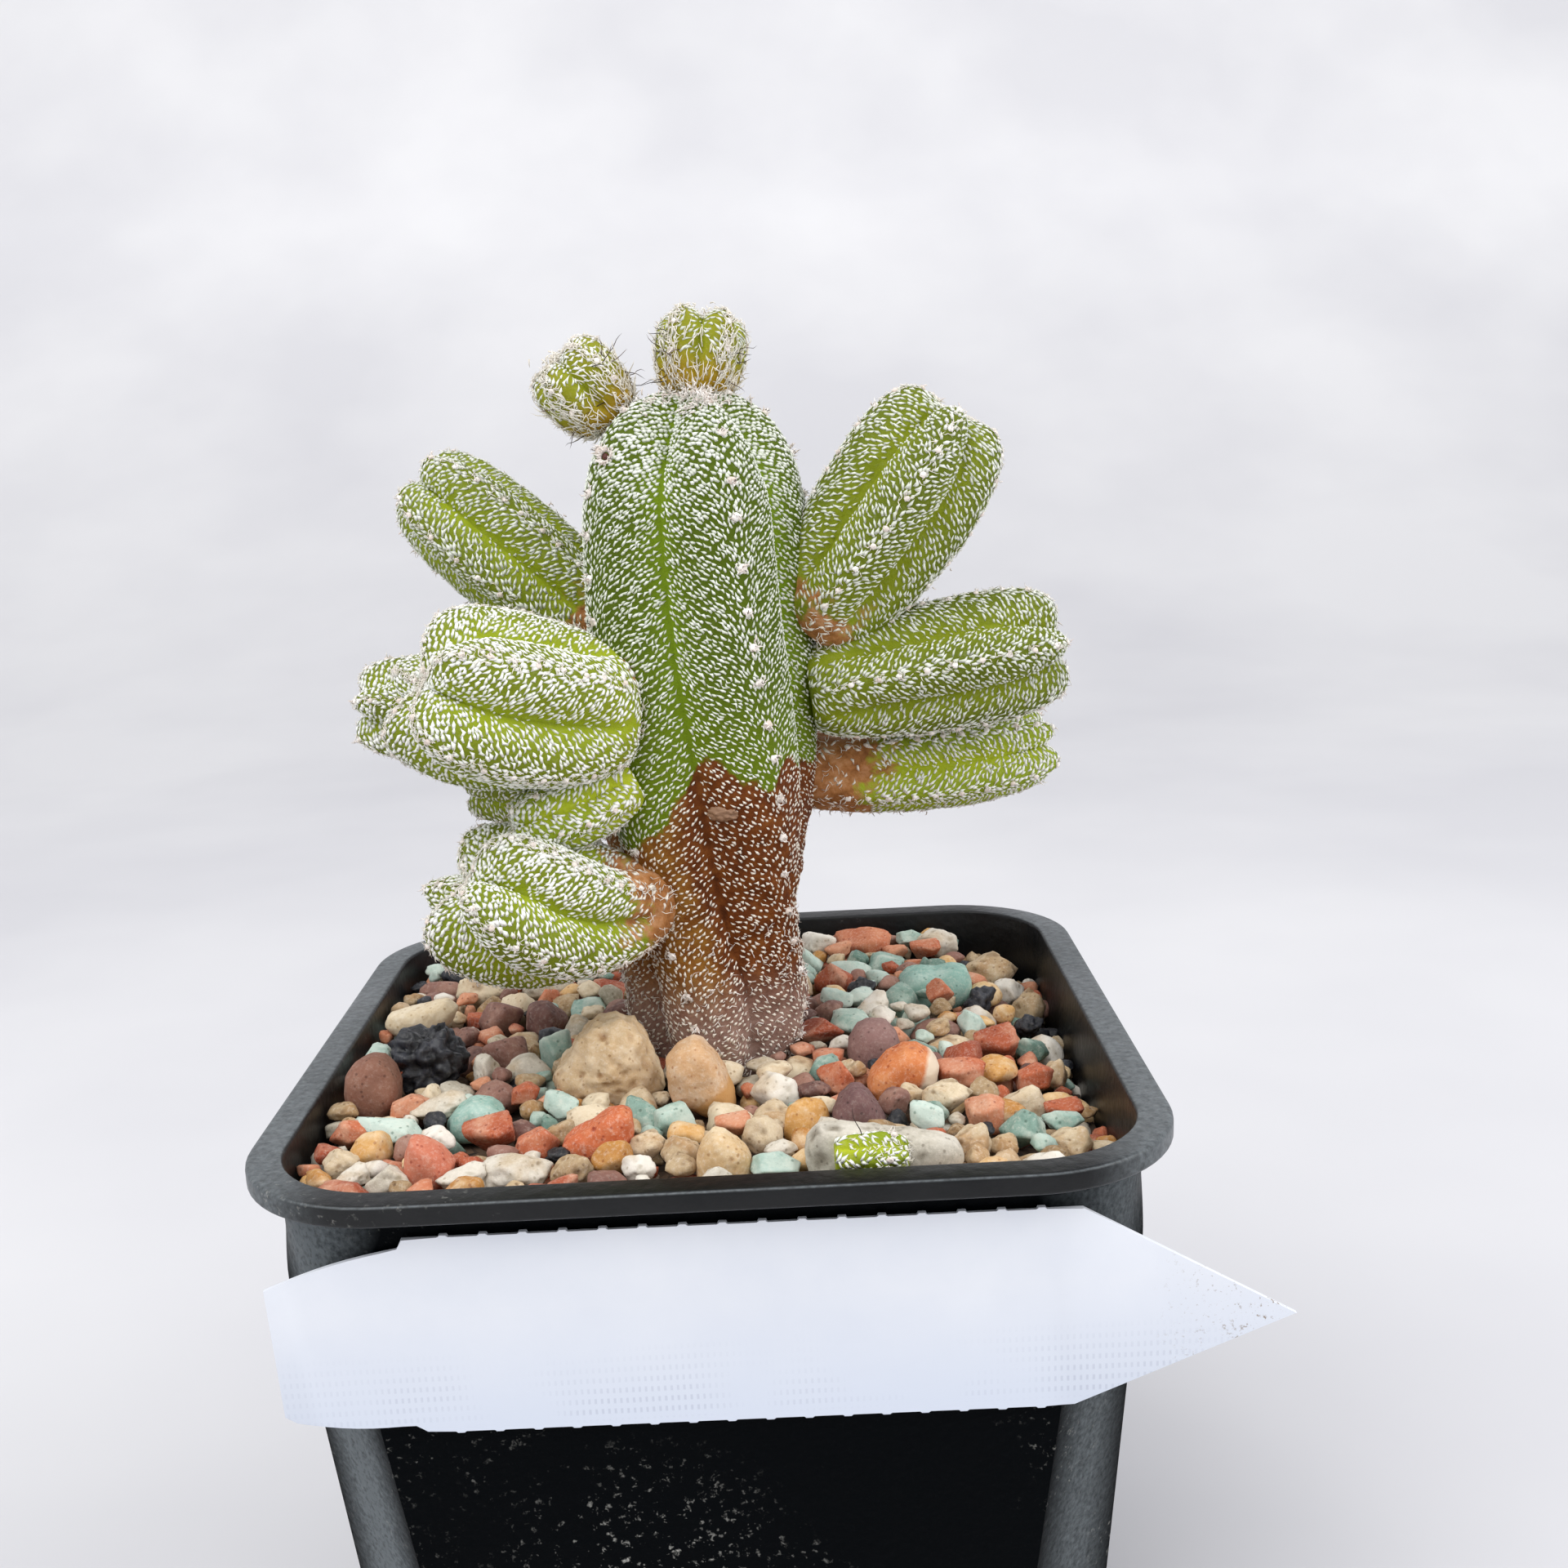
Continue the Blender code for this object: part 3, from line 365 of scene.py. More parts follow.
def buildPot():
    top, edge = pot["height"], pot["rimEdge"]
    underLip = top - pot["lipDepth"]
    footHalf = pot["wallHalfTop"] - pot["taper"] * top - pot["footEdge"]
    footCorner = pot["chamferTop"] + pot["chamferGrowth"] * top
    rings = [squareRing(footHalf, footCorner, 0.0, 0.0, pot["cornerRadius"])]
    # rings every mm near the lip, where the corners turn round, and fewer below
    heights = [*np.linspace(pot["footEdge"], top - pot["roundFade"], 9),
               *(top - k for k in range(12, 2, -1)), underLip]
    rings += [wallRing(height) for height in heights]
    quarter = np.linspace(0, math.pi / 2, pot["edgeSteps"])
    rimSide = pot["rimHalf"] - edge
    rings += [rimRing(rimSide + edge * math.sin(a), underLip + edge - edge * math.cos(a)) for a in quarter]
    rings += [rimRing(rimSide + edge * math.cos(a), top - edge + edge * math.sin(a)) for a in quarter]
    inner = wallRing(top - edge, pot["wall"])
    lipInner = rimRing(pot["rimHalf"] - pot["flange"] + edge, top)
    for a in quarter[:-1]:
        ring = lipInner + (inner - lipInner) * math.sin(a)
        ring[:, 2] = top - edge + edge * math.cos(a)
        rings.append(ring)
    inside = [top - edge, *(top - k for k in range(2, 14)), *range(60, 0, -10), pot["floor"]]
    rings += [wallRing(height, pot["wall"]) for height in inside]
    grid = np.array(rings)
    faces, _ = skinOver(grid)
    # the chamfers are grey, partly rubbed and partly painted reflection, and greyer on the left as painted
    # light; the walls below the lip are one material and the rim another
    steps, lipRow = pot["cornerSteps"], len(heights)
    share = np.tile(np.arange(steps + 1) / steps, 4)
    rub = np.zeros(grid.shape[:2])
    rub[:lipRow] = np.clip(2.6 * np.minimum(share, 1 - share), 0, 1) * pot["cornerRubAndSheen"]
    # painted light: the left chamfers, on the lit side, are greyer
    rub[:lipRow] *= np.where(grid[:lipRow, :, 0] < 0, pot["leftLitGain"], 1.0)
    # painted reflection: the rim's left and right sides turn grey
    side = smoothstep(*pot["rimSheenFrom"], np.abs(grid[..., 0])) * pot["rimSideSheen"]
    rub[lipRow + 1:lipRow + 13] = side[lipRow + 1:lipRow + 13]
    # painted highlight: light lines along the lip's lower and upper edges
    for edgeRow in (lipRow + 1, lipRow + 8):  # the lip's lower and upper edges
        rub[edgeRow] = np.maximum(rub[edgeRow], pot["lipEdgeHighlight"])
    quads = faces[0].reshape(len(rings) - 1, -1, 4)
    outer, rest = quads[:lipRow].reshape(-1, 4), quads[lipRow:].reshape(-1, 4)
    flat = grid.reshape(-1, 3)
    surfaces = [plasticMaterial("moulded black polypropylene wall", "#030507", 0.03, 0.0),
                plasticMaterial("moulded black polypropylene rim", "#05070a", 0.3, 0.035)]
    piece = makePiece("pot_body", [chunk(flat, [outer, faces[1]], 0, rub=rub.ravel()),
                                   chunk(flat, [rest, faces[2]], 1, rub=rub.ravel())],
                      surfaces, ["pot"])
    bm = bmesh.new()
    bm.from_mesh(piece.data)
    bmesh.ops.delete(bm, geom=[v for v in bm.verts if not v.link_faces], context="VERTS")
    bmesh.ops.remove_doubles(bm, verts=bm.verts, dist=1e-7)
    bm.to_mesh(piece.data)
    bm.free()
    bm = bmesh.new()
    away, wide = pot["drainOffset"] * mm, pot["drainRadius"] * mm
    for angle in np.radians((45, 135, 225, 315)):
        spot = Matrix.Translation((away * math.cos(angle), away * math.sin(angle), 0))
        bmesh.ops.create_cone(bm, cap_ends=True, segments=32, radius1=wide, radius2=wide,
                              depth=pot["drainCut"] * mm, matrix=spot)
    cutter = placed("drain cutter", meshOf("drain cutter", bm))
    step = piece.modifiers.new("drain holes", "BOOLEAN")
    step.object, step.solver = cutter, "EXACT"
    shown = piece.evaluated_get(bpy.context.evaluated_depsgraph_get())
    cut = bpy.data.meshes.new_from_object(shown)
    piece.modifiers.clear()
    piece.data = cut
    bpy.data.objects.remove(cutter)
    cut.set_sharp_from_angle(angle=math.radians(pot["sharpFrom"]))


buildPot()
print("pot built")


# Label

label = {
    "top": ((-41.3, 71.1), (-28.6, 74.7), (-28.2, 75.7), (34.2, 75.5)), "tip": (54.1, 63.5),
    "bottom": ((33.3, 54.9), (-27.7, 55.4), (-28.7, 56.2), (-39.8, 57.0), (-40.9, 57.7)),
    "thick": 0.5, "gap": 0.3, "bulge": 0.45, "edgeRadius": 0.07, "sharpFrom": 40,  # the last in degrees
    "tabStep": 3.65, "tabWide": 0.7, "tabHigh": 0.26, "tabSlope": 0.12,
    # heights and, for the soil, the x between which each mark grows to its full strength, in metres
    "filmAndShade": (0.0680, 0.0560), "dashesBelow": (0.0640, 0.0580), "dashesAbove": (0.0556, 0.0562),
    "soilFrom": (0.040, 0.053),
}


def labelMaterial():
    # die-cut white polypropylene sheet: smooth and slightly glossy, a cool white, with painted shade that makes
    # it darker and bluer towards the bottom, rows of faint grey dashes and brown soil at the tip
    made, add = newMaterial("die-cut white polypropylene")
    place = add("TexCoord")
    x = add("SeparateXYZ", {0: place})
    z = add("SeparateXYZ", {0: place}, out=2)
    cloud = add("TexNoise", {"Vector": place, "Scale": perMm(9), "Detail": 4.0})
    base = add("ValToRGB", {"Fac": cloud}, stops=[(0.3, "#dbdfe7"), (0.75, "#e2e5eb")])
    # painted shade: darker and bluer towards the bottom
    filmAndShade = add("MapRange", [z, *label["filmAndShade"]])
    base = add("Mix", {0: filmAndShade, 6: base, 7: "#d1d8e5"})
    # upright dashes 0.6 mm apart, in a few level rows 1.1 mm apart
    upright = add("TexWave", {"Vector": place, "Scale": waveScale(0.6), "Distortion": 0.6}, out=1)
    level = add("TexWave", {"Vector": place, "Scale": waveScale(1.1), "Distortion": 0.4}, out=1,
                bands_direction="Z")
    patchy = add("TexNoise", {"Vector": place, "Scale": perMm(14), "Detail": 2.0})
    dash = add("MapRange", [upright, 0.55, 0.8])
    for share in ([level, 0.35, 0.7], [z, *label["dashesBelow"]], [z, *label["dashesAbove"]],
                  [patchy, 0.42, 0.6, 0.0, 0.3]):
        dash = add("Math", [dash, add("MapRange", share)], operation="MULTIPLY")
    base = add("Mix", {0: dash, 6: base, 7: "#9aa0b4"})
    grit = add("TexNoise", {"Vector": place, "Scale": perMm(0.5), "Detail": 4.0, "Roughness": 0.7})
    grit = add("MapRange", [grit, 0.60, 0.66])
    nearTip = add("MapRange", [x, *label["soilFrom"]])
    soil = add("Math", [grit, nearTip], operation="MULTIPLY")
    base = add("Mix", {0: soil, 6: base, 7: "#8a7763"})
    fine = add("TexNoise", {"Vector": place, "Scale": perMm(1.4), "Detail": 5.0})
    bump = add("Bump", {"Height": fine, "Distance": 0.00003, "Strength": 0.5})
    finishMaterial(add, Base_Color=base, Roughness=0.42, IOR=1.49, Normal=bump)
    return made


def tabbedEdge(start, end, outwards):
    # points along an edge, with the small tabs that the die leaves at even steps
    start, end = np.array(start, float), np.array(end, float)
    length = np.linalg.norm(end - start)
    along = (end - start) / length
    points = [start]
    count = int((length - 2) // label["tabStep"])
    first = (length - (count - 1) * label["tabStep"]) / 2
    half, foot = label["tabWide"] / 2, label["tabWide"] / 2 + label["tabSlope"]
    for i in range(count):
        middle = first + i * label["tabStep"]
        for offset, rise in ((-foot, 0), (-half, 1), (half, 1), (foot, 0)):
            outward = np.array((0, outwards * rise * label["tabHigh"]))
            points.append(start + along * (middle + offset) + outward)
    return points


def bowedEdge(start, end, bulge):
    start, end = np.array(start, float), np.array(end, float)
    shares = np.linspace(0, 1, 9)[:-1]
    return [start + (end - start) * s + np.array((0, bulge * math.sin(math.pi * s))) for s in shares]


def buildLabel():
    top, bottom, bulge = label["top"], label["bottom"], label["bulge"]
    outline = [*bowedEdge(*top[:2], bulge), top[1], *tabbedEdge(*top[2:], 1), top[3], label["tip"],
               *tabbedEdge(*bottom[:2], -1), bottom[1], *bowedEdge(*bottom[2:4], -bulge), *bottom[3:]]
    outline = np.array(outline, float)
    slope = math.sqrt(1 + pot["taper"] ** 2)
    bm = bmesh.new()
    wall = -(pot["wallHalfTop"] - pot["taper"] * (pot["height"] - outline[:, 1]))
    rings = []
    for depth in (wall - label["gap"] * slope, wall - (label["gap"] + label["thick"]) * slope):
        rings.append([bm.verts.new((x * mm, y * mm, z * mm)) for (x, z), y in zip(outline, depth)])
    count = len(outline)
    for i in range(count):
        j = (i + 1) % count
        bm.faces.new((rings[0][i], rings[0][j], rings[1][j], rings[1][i]))
    for ring in rings:
        bm.faces.new(ring)
    rim = [edge for edge in bm.edges if all(v in set(rings[1]) for v in edge.verts)]
    bmesh.ops.bevel(bm, geom=rim, offset=label["edgeRadius"] * mm, segments=2, affect="EDGES", profile=0.6)
    bmesh.ops.triangulate(bm, faces=[f for f in bm.faces if len(f.verts) > 4])
    bmesh.ops.recalc_face_normals(bm, faces=bm.faces)
    mesh = meshOf("label_plate", bm)
    mesh.materials.append(labelMaterial())
    mesh.shade_smooth()
    mesh.set_sharp_from_angle(angle=math.radians(label["sharpFrom"]))
    piece = placed("label_plate", mesh)
    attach(piece, "root")
    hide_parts("plant_label")


buildLabel()
print("label built")


# Gravel

stoneKinds = {
    # share of the stones, how they broke or wore, colours, stains, and size of the grain in mm
    "terracotta": {"share": 0.22, "form": "chip", "slot": "red_stone", "rough": 0.86, "dust": 0.25,
                   "shades": ("#95452a", "#b7623f", "#cd8d6a"), "stain": "#d3a284", "grain": 0.35, "bump": 0.5},
    "turquoise": {"share": 0.15, "form": "chip", "slot": "green_stone", "rough": 0.8, "dust": 0.30,
                  "shades": ("#627f72", "#91ada0", "#c2d2c7"), "stain": "#cfd7ca", "grain": 0.5, "bump": 0.5},
    "cream": {"share": 0.29, "form": "pitted", "slot": "cream_stone", "rough": 0.9, "dust": 0.35,
              "shades": ("#927754", "#bfa784", "#dbcbae"), "stain": "#a97c48", "grain": 0.45, "bump": 0.8},
    "white": {"share": 0.14, "form": "pitted", "slot": "pumice_stone", "rough": 0.9, "dust": 0.4,
              "shades": ("#aea592", "#cfc7b8", "#e6e0d5"), "stain": "#bba27c", "grain": 0.4, "bump": 0.7},
    "brown": {"share": 0.09, "form": "worn", "slot": "brown_stone", "rough": 0.75, "dust": 0.15,
              "shades": ("#5f403a", "#80594e", "#996f5f"), "stain": "#a07a69", "grain": 0.5, "bump": 0.35},
    "lava": {"share": 0.04, "form": "lava", "slot": "lava_stone", "rough": 0.5, "dust": 0.08,
             "shades": ("#121317", "#20222a", "#3c3e46"), "stain": "#33353d", "grain": 0.4, "bump": 1.0},
    "ochre": {"share": 0.07, "form": "worn", "slot": "orange_stone", "rough": 0.7, "dust": 0.3,
              "shades": ("#ac7430", "#cc9a56", "#e6c898"), "stain": "#dcc7a4", "grain": 0.45, "bump": 0.6},
}
gravel = {
    # the stones' top, and how far it sinks along the right wall, less so at the front
    "level": 78.6, "sunk": 4.6, "sunkFrom": (26, 40), "filled": 0.45, "filledFrom": (18, 34),
    "cell": 0.35, "half": 42.0, "depth": 4.4, "stem": (0.2, 2.5), "stemReach": 8.7, "taperLoss": 0.12,
    "wallGap": 0.15, "forms": 8, "tries": 26, "seed": 21,
    # shares of a stone's radius: where no other middle may lie, round a node, a named stone and any
    # other, how much of it rests on what is under it, and how deep it nests there
    "nodeKeeps": 0.86, "namedKeeps": 0.72, "keeps": 0.8, "rests": 0.92, "nests": 0.88,
    # for each round: longest and shortest stone, highest rise over the level, how deep a pit must be,
    # and how many misses end the round
    "rounds": ((7.0, 5.0, 0.5, 0.0, 50), (5.4, 3.8, 0.4, 0.8, 90), (3.9, 2.7, 0.1, 1.6, 120),
               (2.9, 2.0, -0.3, 2.2, 120)),
    "bedBottom": 67.4, "bedSide": 74.0, "bedGap": 0.45, "bedRise": 0.1,
    "bedRings": (1.0, 0.9, 0.78, 0.62, 0.45, 0.25, 0.02),
}
# stones that can be told apart in the picture: kind, place, width and height, tone
namedStones = (
    ("white", (6.3, -15.0, 76.9), 5.2, 5.2, 0.75), ("cream", (5.0, -26.4, 77.2), 4.2, 4.4, 0.75),
    ("ochre", (9.5, -22.9, 76.5), 4.8, 6.2, 0.45), ("turquoise", (6.2, -34.8, 77.6), 4.9, 2.8, 0.75),
    ("turquoise", (-4.0, -21.7, 77.1), 4.6, 4.2, 0.6), ("turquoise", (-7.6, -20.6, 77.3), 3.4, 4.2, 0.35),
    ("terracotta", (12.9, -11.8, 77.2), 4.1, 4.3, 0.6), ("terracotta", (11.6, 2.3, 77.5), 5.6, 3.2, 0.1),
    ("terracotta", (27.7, -23.4, 77.0), 4.0, 4.3, 0.75), ("turquoise", (31.0, -26.5, 76.5), 4.7, 4.1, 0.2),
    ("turquoise", (35.9, 1.4, 74.5), 4.4, 3.0, 0.1), ("turquoise", (21.6, -24.7, 77.4), 3.4, 3.6, 1.0),
    ("cream", (24.2, -19.4, 77.5), 5.4, 3.3, 0.8), ("terracotta", (26.4, -12.2, 77.4), 5.4, 3.2, 0.45),
    ("terracotta", (31.5, -1.5, 75.8), 4.9, 5.4, 0.25), ("terracotta", (36.3, -18.6, 74.8), 4.0, 3.0, 0.35),
    ("lava", (36.8, 9.6, 74.3), 3.6, 3.0, 0.4), ("lava", (-34.2, 32.5, 77.0), 6.4, 4.4, 0.3),
    ("ochre", (34.0, 10.8, 75.6), 2.8, 2.6, 0.5), ("cream", (38.0, 17.4, 73.0), 4.6, 6.2, 0.45),
    ("cream", (34.6, 28.4, 74.6), 7.4, 5.8, 0.6), ("cream", (35.5, -27.2, 75.4), 5.2, 3.2, 0.6),
    ("terracotta", (-36.3, -4.6, 77.2), 3.9, 4.4, 0.2), ("brown", (-26.6, 13.1, 77.2), 5.6, 5.0, 0.4),
    ("brown", (-21.0, 11.5, 77.2), 5.0, 5.2, 0.2), ("brown", (-24.3, 0.8, 77.2), 5.5, 4.5, 0.6),
    ("cream", (-30.8, 24.4, 77.2), 6.4, 5.0, 0.9), ("white", (-22.6, 25.4, 77.4), 7.0, 4.8, 0.3),
    ("turquoise", (-18.6, 0.6, 77.0), 4.0, 6.0, 0.55), ("white", (-29.2, -15.6, 77.6), 6.6, 3.0, 0.45),
    ("terracotta", (-32.4, -15.0, 77.7), 4.8, 2.8, 0.75), ("terracotta", (-37.6, -20.4, 77.3), 4.4, 3.2, 0.55),
    ("turquoise", (-33.6, -21.2, 77.8), 7.4, 2.4, 0.95), ("ochre", (-34.2, -25.9, 77.4), 4.2, 4.2, 0.6),
    ("terracotta", (-22.7, -23.7, 77.4), 5.6, 4.4, 0.35), ("terracotta", (-17.7, -26.3, 77.3), 4.7, 4.2, 0.6),
    ("ochre", (-9.6, -31.2, 77.7), 4.2, 3.4, 0.2), ("cream", (-13.4, -33.1, 77.4), 4.2, 3.4, 0.3),
    ("white", (-18.9, -32.9, 77.4), 7.2, 3.2, 0.5), ("white", (-24.0, -33.6, 77.3), 5.0, 3.0, 0.55),
    ("terracotta", (18.7, 37.2, 76.8), 7.6, 5.4, 0.7), ("terracotta", (26.4, 32.1, 77.5), 4.0, 3.0, 0.55),
    ("terracotta", (26.6, 13.4, 77.7), 3.4, 3.6, 0.6), ("white", (28.4, 36.0, 77.2), 5.6, 4.0, 0.6),
    ("lava", (31.6, 14.6, 76.0), 4.0, 3.7, 0.6), ("white", (36.2, 22.4, 74.2), 4.2, 3.9, 0.8),
    ("turquoise", (29.5, 5.1, 76.8), 3.4, 3.3, 0.9), ("white", (18.1, 9.7, 77.4), 4.4, 4.2, 0.8),
    ("brown", (13.0, 9.0, 77.6), 3.6, 3.0, 0.2), ("turquoise", (14.0, 12.8, 77.7), 4.0, 2.8, 0.85),
    ("lava", (17.3, 17.9, 77.2), 3.6, 3.3, 0.2), ("terracotta", (14.0, 22.0, 77.4), 5.0, 4.2, 0.3),
    ("white", (12.6, 36.4, 77.6), 4.6, 4.0, 0.8), ("turquoise", (25.0, 37.6, 77.6), 4.0, 2.4, 0.7),
    ("brown", (18.5, -20.0, 77.4), 3.4, 3.2, 0.5), ("cream", (25.5, -30.2, 77.2), 4.2, 4.0, 0.65),
    ("terracotta", (2.0, -24.4, 77.4), 3.8, 3.0, 0.85), ("cream", (-6.3, -28.8, 77.6), 4.0, 3.2, 0.75),
    ("cream", (-3.0, -30.6, 77.5), 4.2, 3.7, 0.6), ("white", (-6.9, -33.7, 77.7), 3.4, 2.8, 0.85),
    ("white", (-25.9, -4.9, 77.5), 3.0, 3.8, 0.5), ("white", (-27.7, -24.4, 77.7), 3.4, 3.0, 0.95),
    ("cream", (-36.6, -28.8, 77.4), 4.0, 3.0, 0.75), ("white", (-34.6, -32.6, 77.6), 3.4, 2.6, 0.6),
    ("white", (-31.0, -33.4, 77.6), 4.2, 2.8, 0.35), ("terracotta", (-20.5, -12.9, 77.8), 3.2, 2.6, 0.5),
    ("turquoise", (-16.2, -16.6, 77.4), 3.8, 3.2, 0.8), ("cream", (37.4, -5.8, 74.3), 3.2, 3.4, 0.6),
    ("turquoise", (35.6, -23.4, 76.2), 4.6, 1.8, 0.5), ("terracotta", (34.6, -9.8, 75.6), 4.6, 3.2, 0.4),
)


def stoneMaterial(name, look):
    # crushed or tumbled rock: dry and matt, mottled inside each stone and different from stone to stone, with a
    # fine broken grain, pits darkened by their depth as painted shade, and pale dust on the raised parts
    made, add = newMaterial(name)
    place = add("TexCoord")
    tone = add("Attribute", attribute_name="tone")
    pit = add("Attribute", attribute_name="pit")
    blotch = add("TexNoise", {"Vector": place, "Scale": perMm(2.4), "Detail": 5.0, "Roughness": 0.6})
    share = add("MapRange", [blotch, 0.3, 0.7, -0.18, 0.18])
    share = add("Math", [tone, share], operation="ADD")
    dark, middle, light = look["shades"]
    base = add("ValToRGB", {"Fac": share}, stops=[(0.05, dark), (0.5, middle), (0.95, light)])
    spread = add("TexNoise", {"Vector": place, "Scale": perMm(4.2), "Detail": 3.0, "Distortion": 0.6})
    stained = add("MapRange", [spread, 0.50, 0.66, 0.0, 0.6])
    base = add("Mix", {0: stained, 6: base, 7: look["stain"]})
    grain = perMm(look["grain"])
    speck = add("TexNoise", {"Vector": place, "Scale": grain, "Detail": 4.0, "Roughness": 0.75})
    pale = add("MapRange", [speck, 0.5, 0.7, 0.0, look["dust"]])
    base = add("Mix", {0: pale, 6: base, 7: "#efe6d8"})
    deep = add("MapRange", [speck, 0.42, 0.30, 0.0, 0.3])
    cells = add("TexVoronoi", {"Vector": place, "Scale": perMm(0.9)})
    dots = add("MapRange", [cells, 0.12, 0.22, 0.55, 0.0])
    # painted shade: the deeper a pit, the darker it is painted
    pitShade = add("Math", [pit, look.get("pitShadeStrength", 0.8)], operation="MULTIPLY")
    for darkened in (deep, dots, pitShade):
        base = add("Mix", {0: darkened, 6: base, 7: dark}, blend_type="MULTIPLY")
    if "band" in look:  # a second colour from one side of the stone, past a wavy line
        facing, start, shade = look["band"]
        along = add("VectorMath", [place, facing], out=1, operation="DOT_PRODUCT")
        along = add("Math", [share, 0.0012, along], operation="MULTIPLY_ADD")
        beyond = add("MapRange", [along, start, start + 0.0005])
        base = add("Mix", {0: beyond, 6: base, 7: shade})
    bump = add("Bump", {"Height": speck, "Distance": 0.00012, "Strength": look["bump"]})
    finishMaterial(add, Base_Color=base, Roughness=look["rough"], IOR=1.5, Normal=bump)
    return made


def sphereForm(level):
    bm = bmesh.new()
    bmesh.ops.create_icosphere(bm, subdivisions=level, radius=1.0)
    points = np.array([v.co for v in bm.verts])
    faces = np.array([[v.index for v in f.verts] for f in bm.faces])
    bm.free()
    return unit(points), faces


spheres = {level: sphereForm(level) for level in (2, 3, 4, 5)}


def evenFacings(count, chance):
    # directions spread over the sphere, each a little off its place, and turned at random
    k = np.arange(count) + 0.5
    height, turn = 1 - 2 * k / count, 2.39996 * k
    flat = np.sqrt(1 - height**2)
    spread = np.stack([flat * np.cos(turn), flat * np.sin(turn), height], -1)
    spread = unit(spread + chance.normal(0, 0.24, spread.shape))
    return spread @ np.array(Quaternion(chance.normal(size=4)).normalized().to_matrix())


def roundedReach(directions, chance, planes, softness, near=0.66, base=None):
    # distance to a body bounded by planes, with its edges rounded; base is a body that it also stays in
    facing = evenFacings(planes, chance)
    away = chance.uniform(near, 1.0, planes)
    if base is not None:  # a plane at distance 1 just touches the base
        away = away * ((directions * base[:, None]) @ facing.T).max(0)
    lean = np.maximum(directions @ facing.T, 1e-3) / away
    total = (lean ** softness).sum(1)
    if base is not None:
        total = total + (1 / base) ** softness
    return 1.0 / total ** (1.0 / softness)


def bumps(points, size, seed):
    shift = Vector((seed * 3.7, seed * 1.3, seed * 7.1))
    return np.array([noise.fractal(Vector(p) / size + shift, 0.6, 2.1, 3) for p in points])


def craters(directions, chance, count, wide, deep):
    # round pits: their depth at each point
    pit = np.zeros(len(directions))
    for centre in unit(chance.normal(size=(count, 3))):
        reach = wide * chance.uniform(0.5, 1.3)
        far = np.linalg.norm(directions - centre, axis=1) / reach
        pit = np.maximum(pit, deep * chance.uniform(0.5, 1) * np.clip(1 - far**2, 0, 1) ** 0.6)
    return pit


def stoneForm(chance, level, planes, softness, rough, pits):
    directions, faces = spheres[level]
    reach = roundedReach(directions, chance, planes, softness)
    points = directions * reach[:, None]
    reach = reach * (1 + rough * bumps(points, 0.55, float(chance.uniform(0, 9))))
    pit = craters(directions, chance, *pits) if pits else np.zeros(len(points))
    points = directions * (reach - pit)[:, None]
    spread = points.max(0) - points.min(0)
    points = (points - (points.max(0) + points.min(0)) / 2) / (spread / 2)
    return points, faces, np.clip(pit / (pits[2] if pits else 1), 0, 1)


formLooks = {
    # planes, sharpness of the edges, roughness, and pits: count, width, depth
    "chip": (11, 24, 0.04, None), "worn": (13, 8, 0.05, None),
    "pitted": (13, 11, 0.09, (14, 0.2, 0.07)), "lava": (14, 9, 0.14, (40, 0.26, 0.2)),
}


def turnedBy(about, tilt=0.0, lean=0.0):
    turns = [Matrix.Rotation(angle, 3, axis) for angle, axis in ((about, "Z"), (tilt, "X"), (lean, "Y"))]
    return np.array(turns[0] @ turns[1] @ turns[2])


def stoneLevel(x, y):
    filled = gravel["filled"] * smoothstep(*gravel["filledFrom"], -np.asarray(y, float))
    return gravel["level"] - gravel["sunk"] * smoothstep(*gravel["sunkFrom"], x) * (1 - filled)


def domeHeight(away):
    # the height of a half ball over places that lie these shares of its radius from the middle
    return np.sqrt(np.clip(1 - away**2, 0, 1))


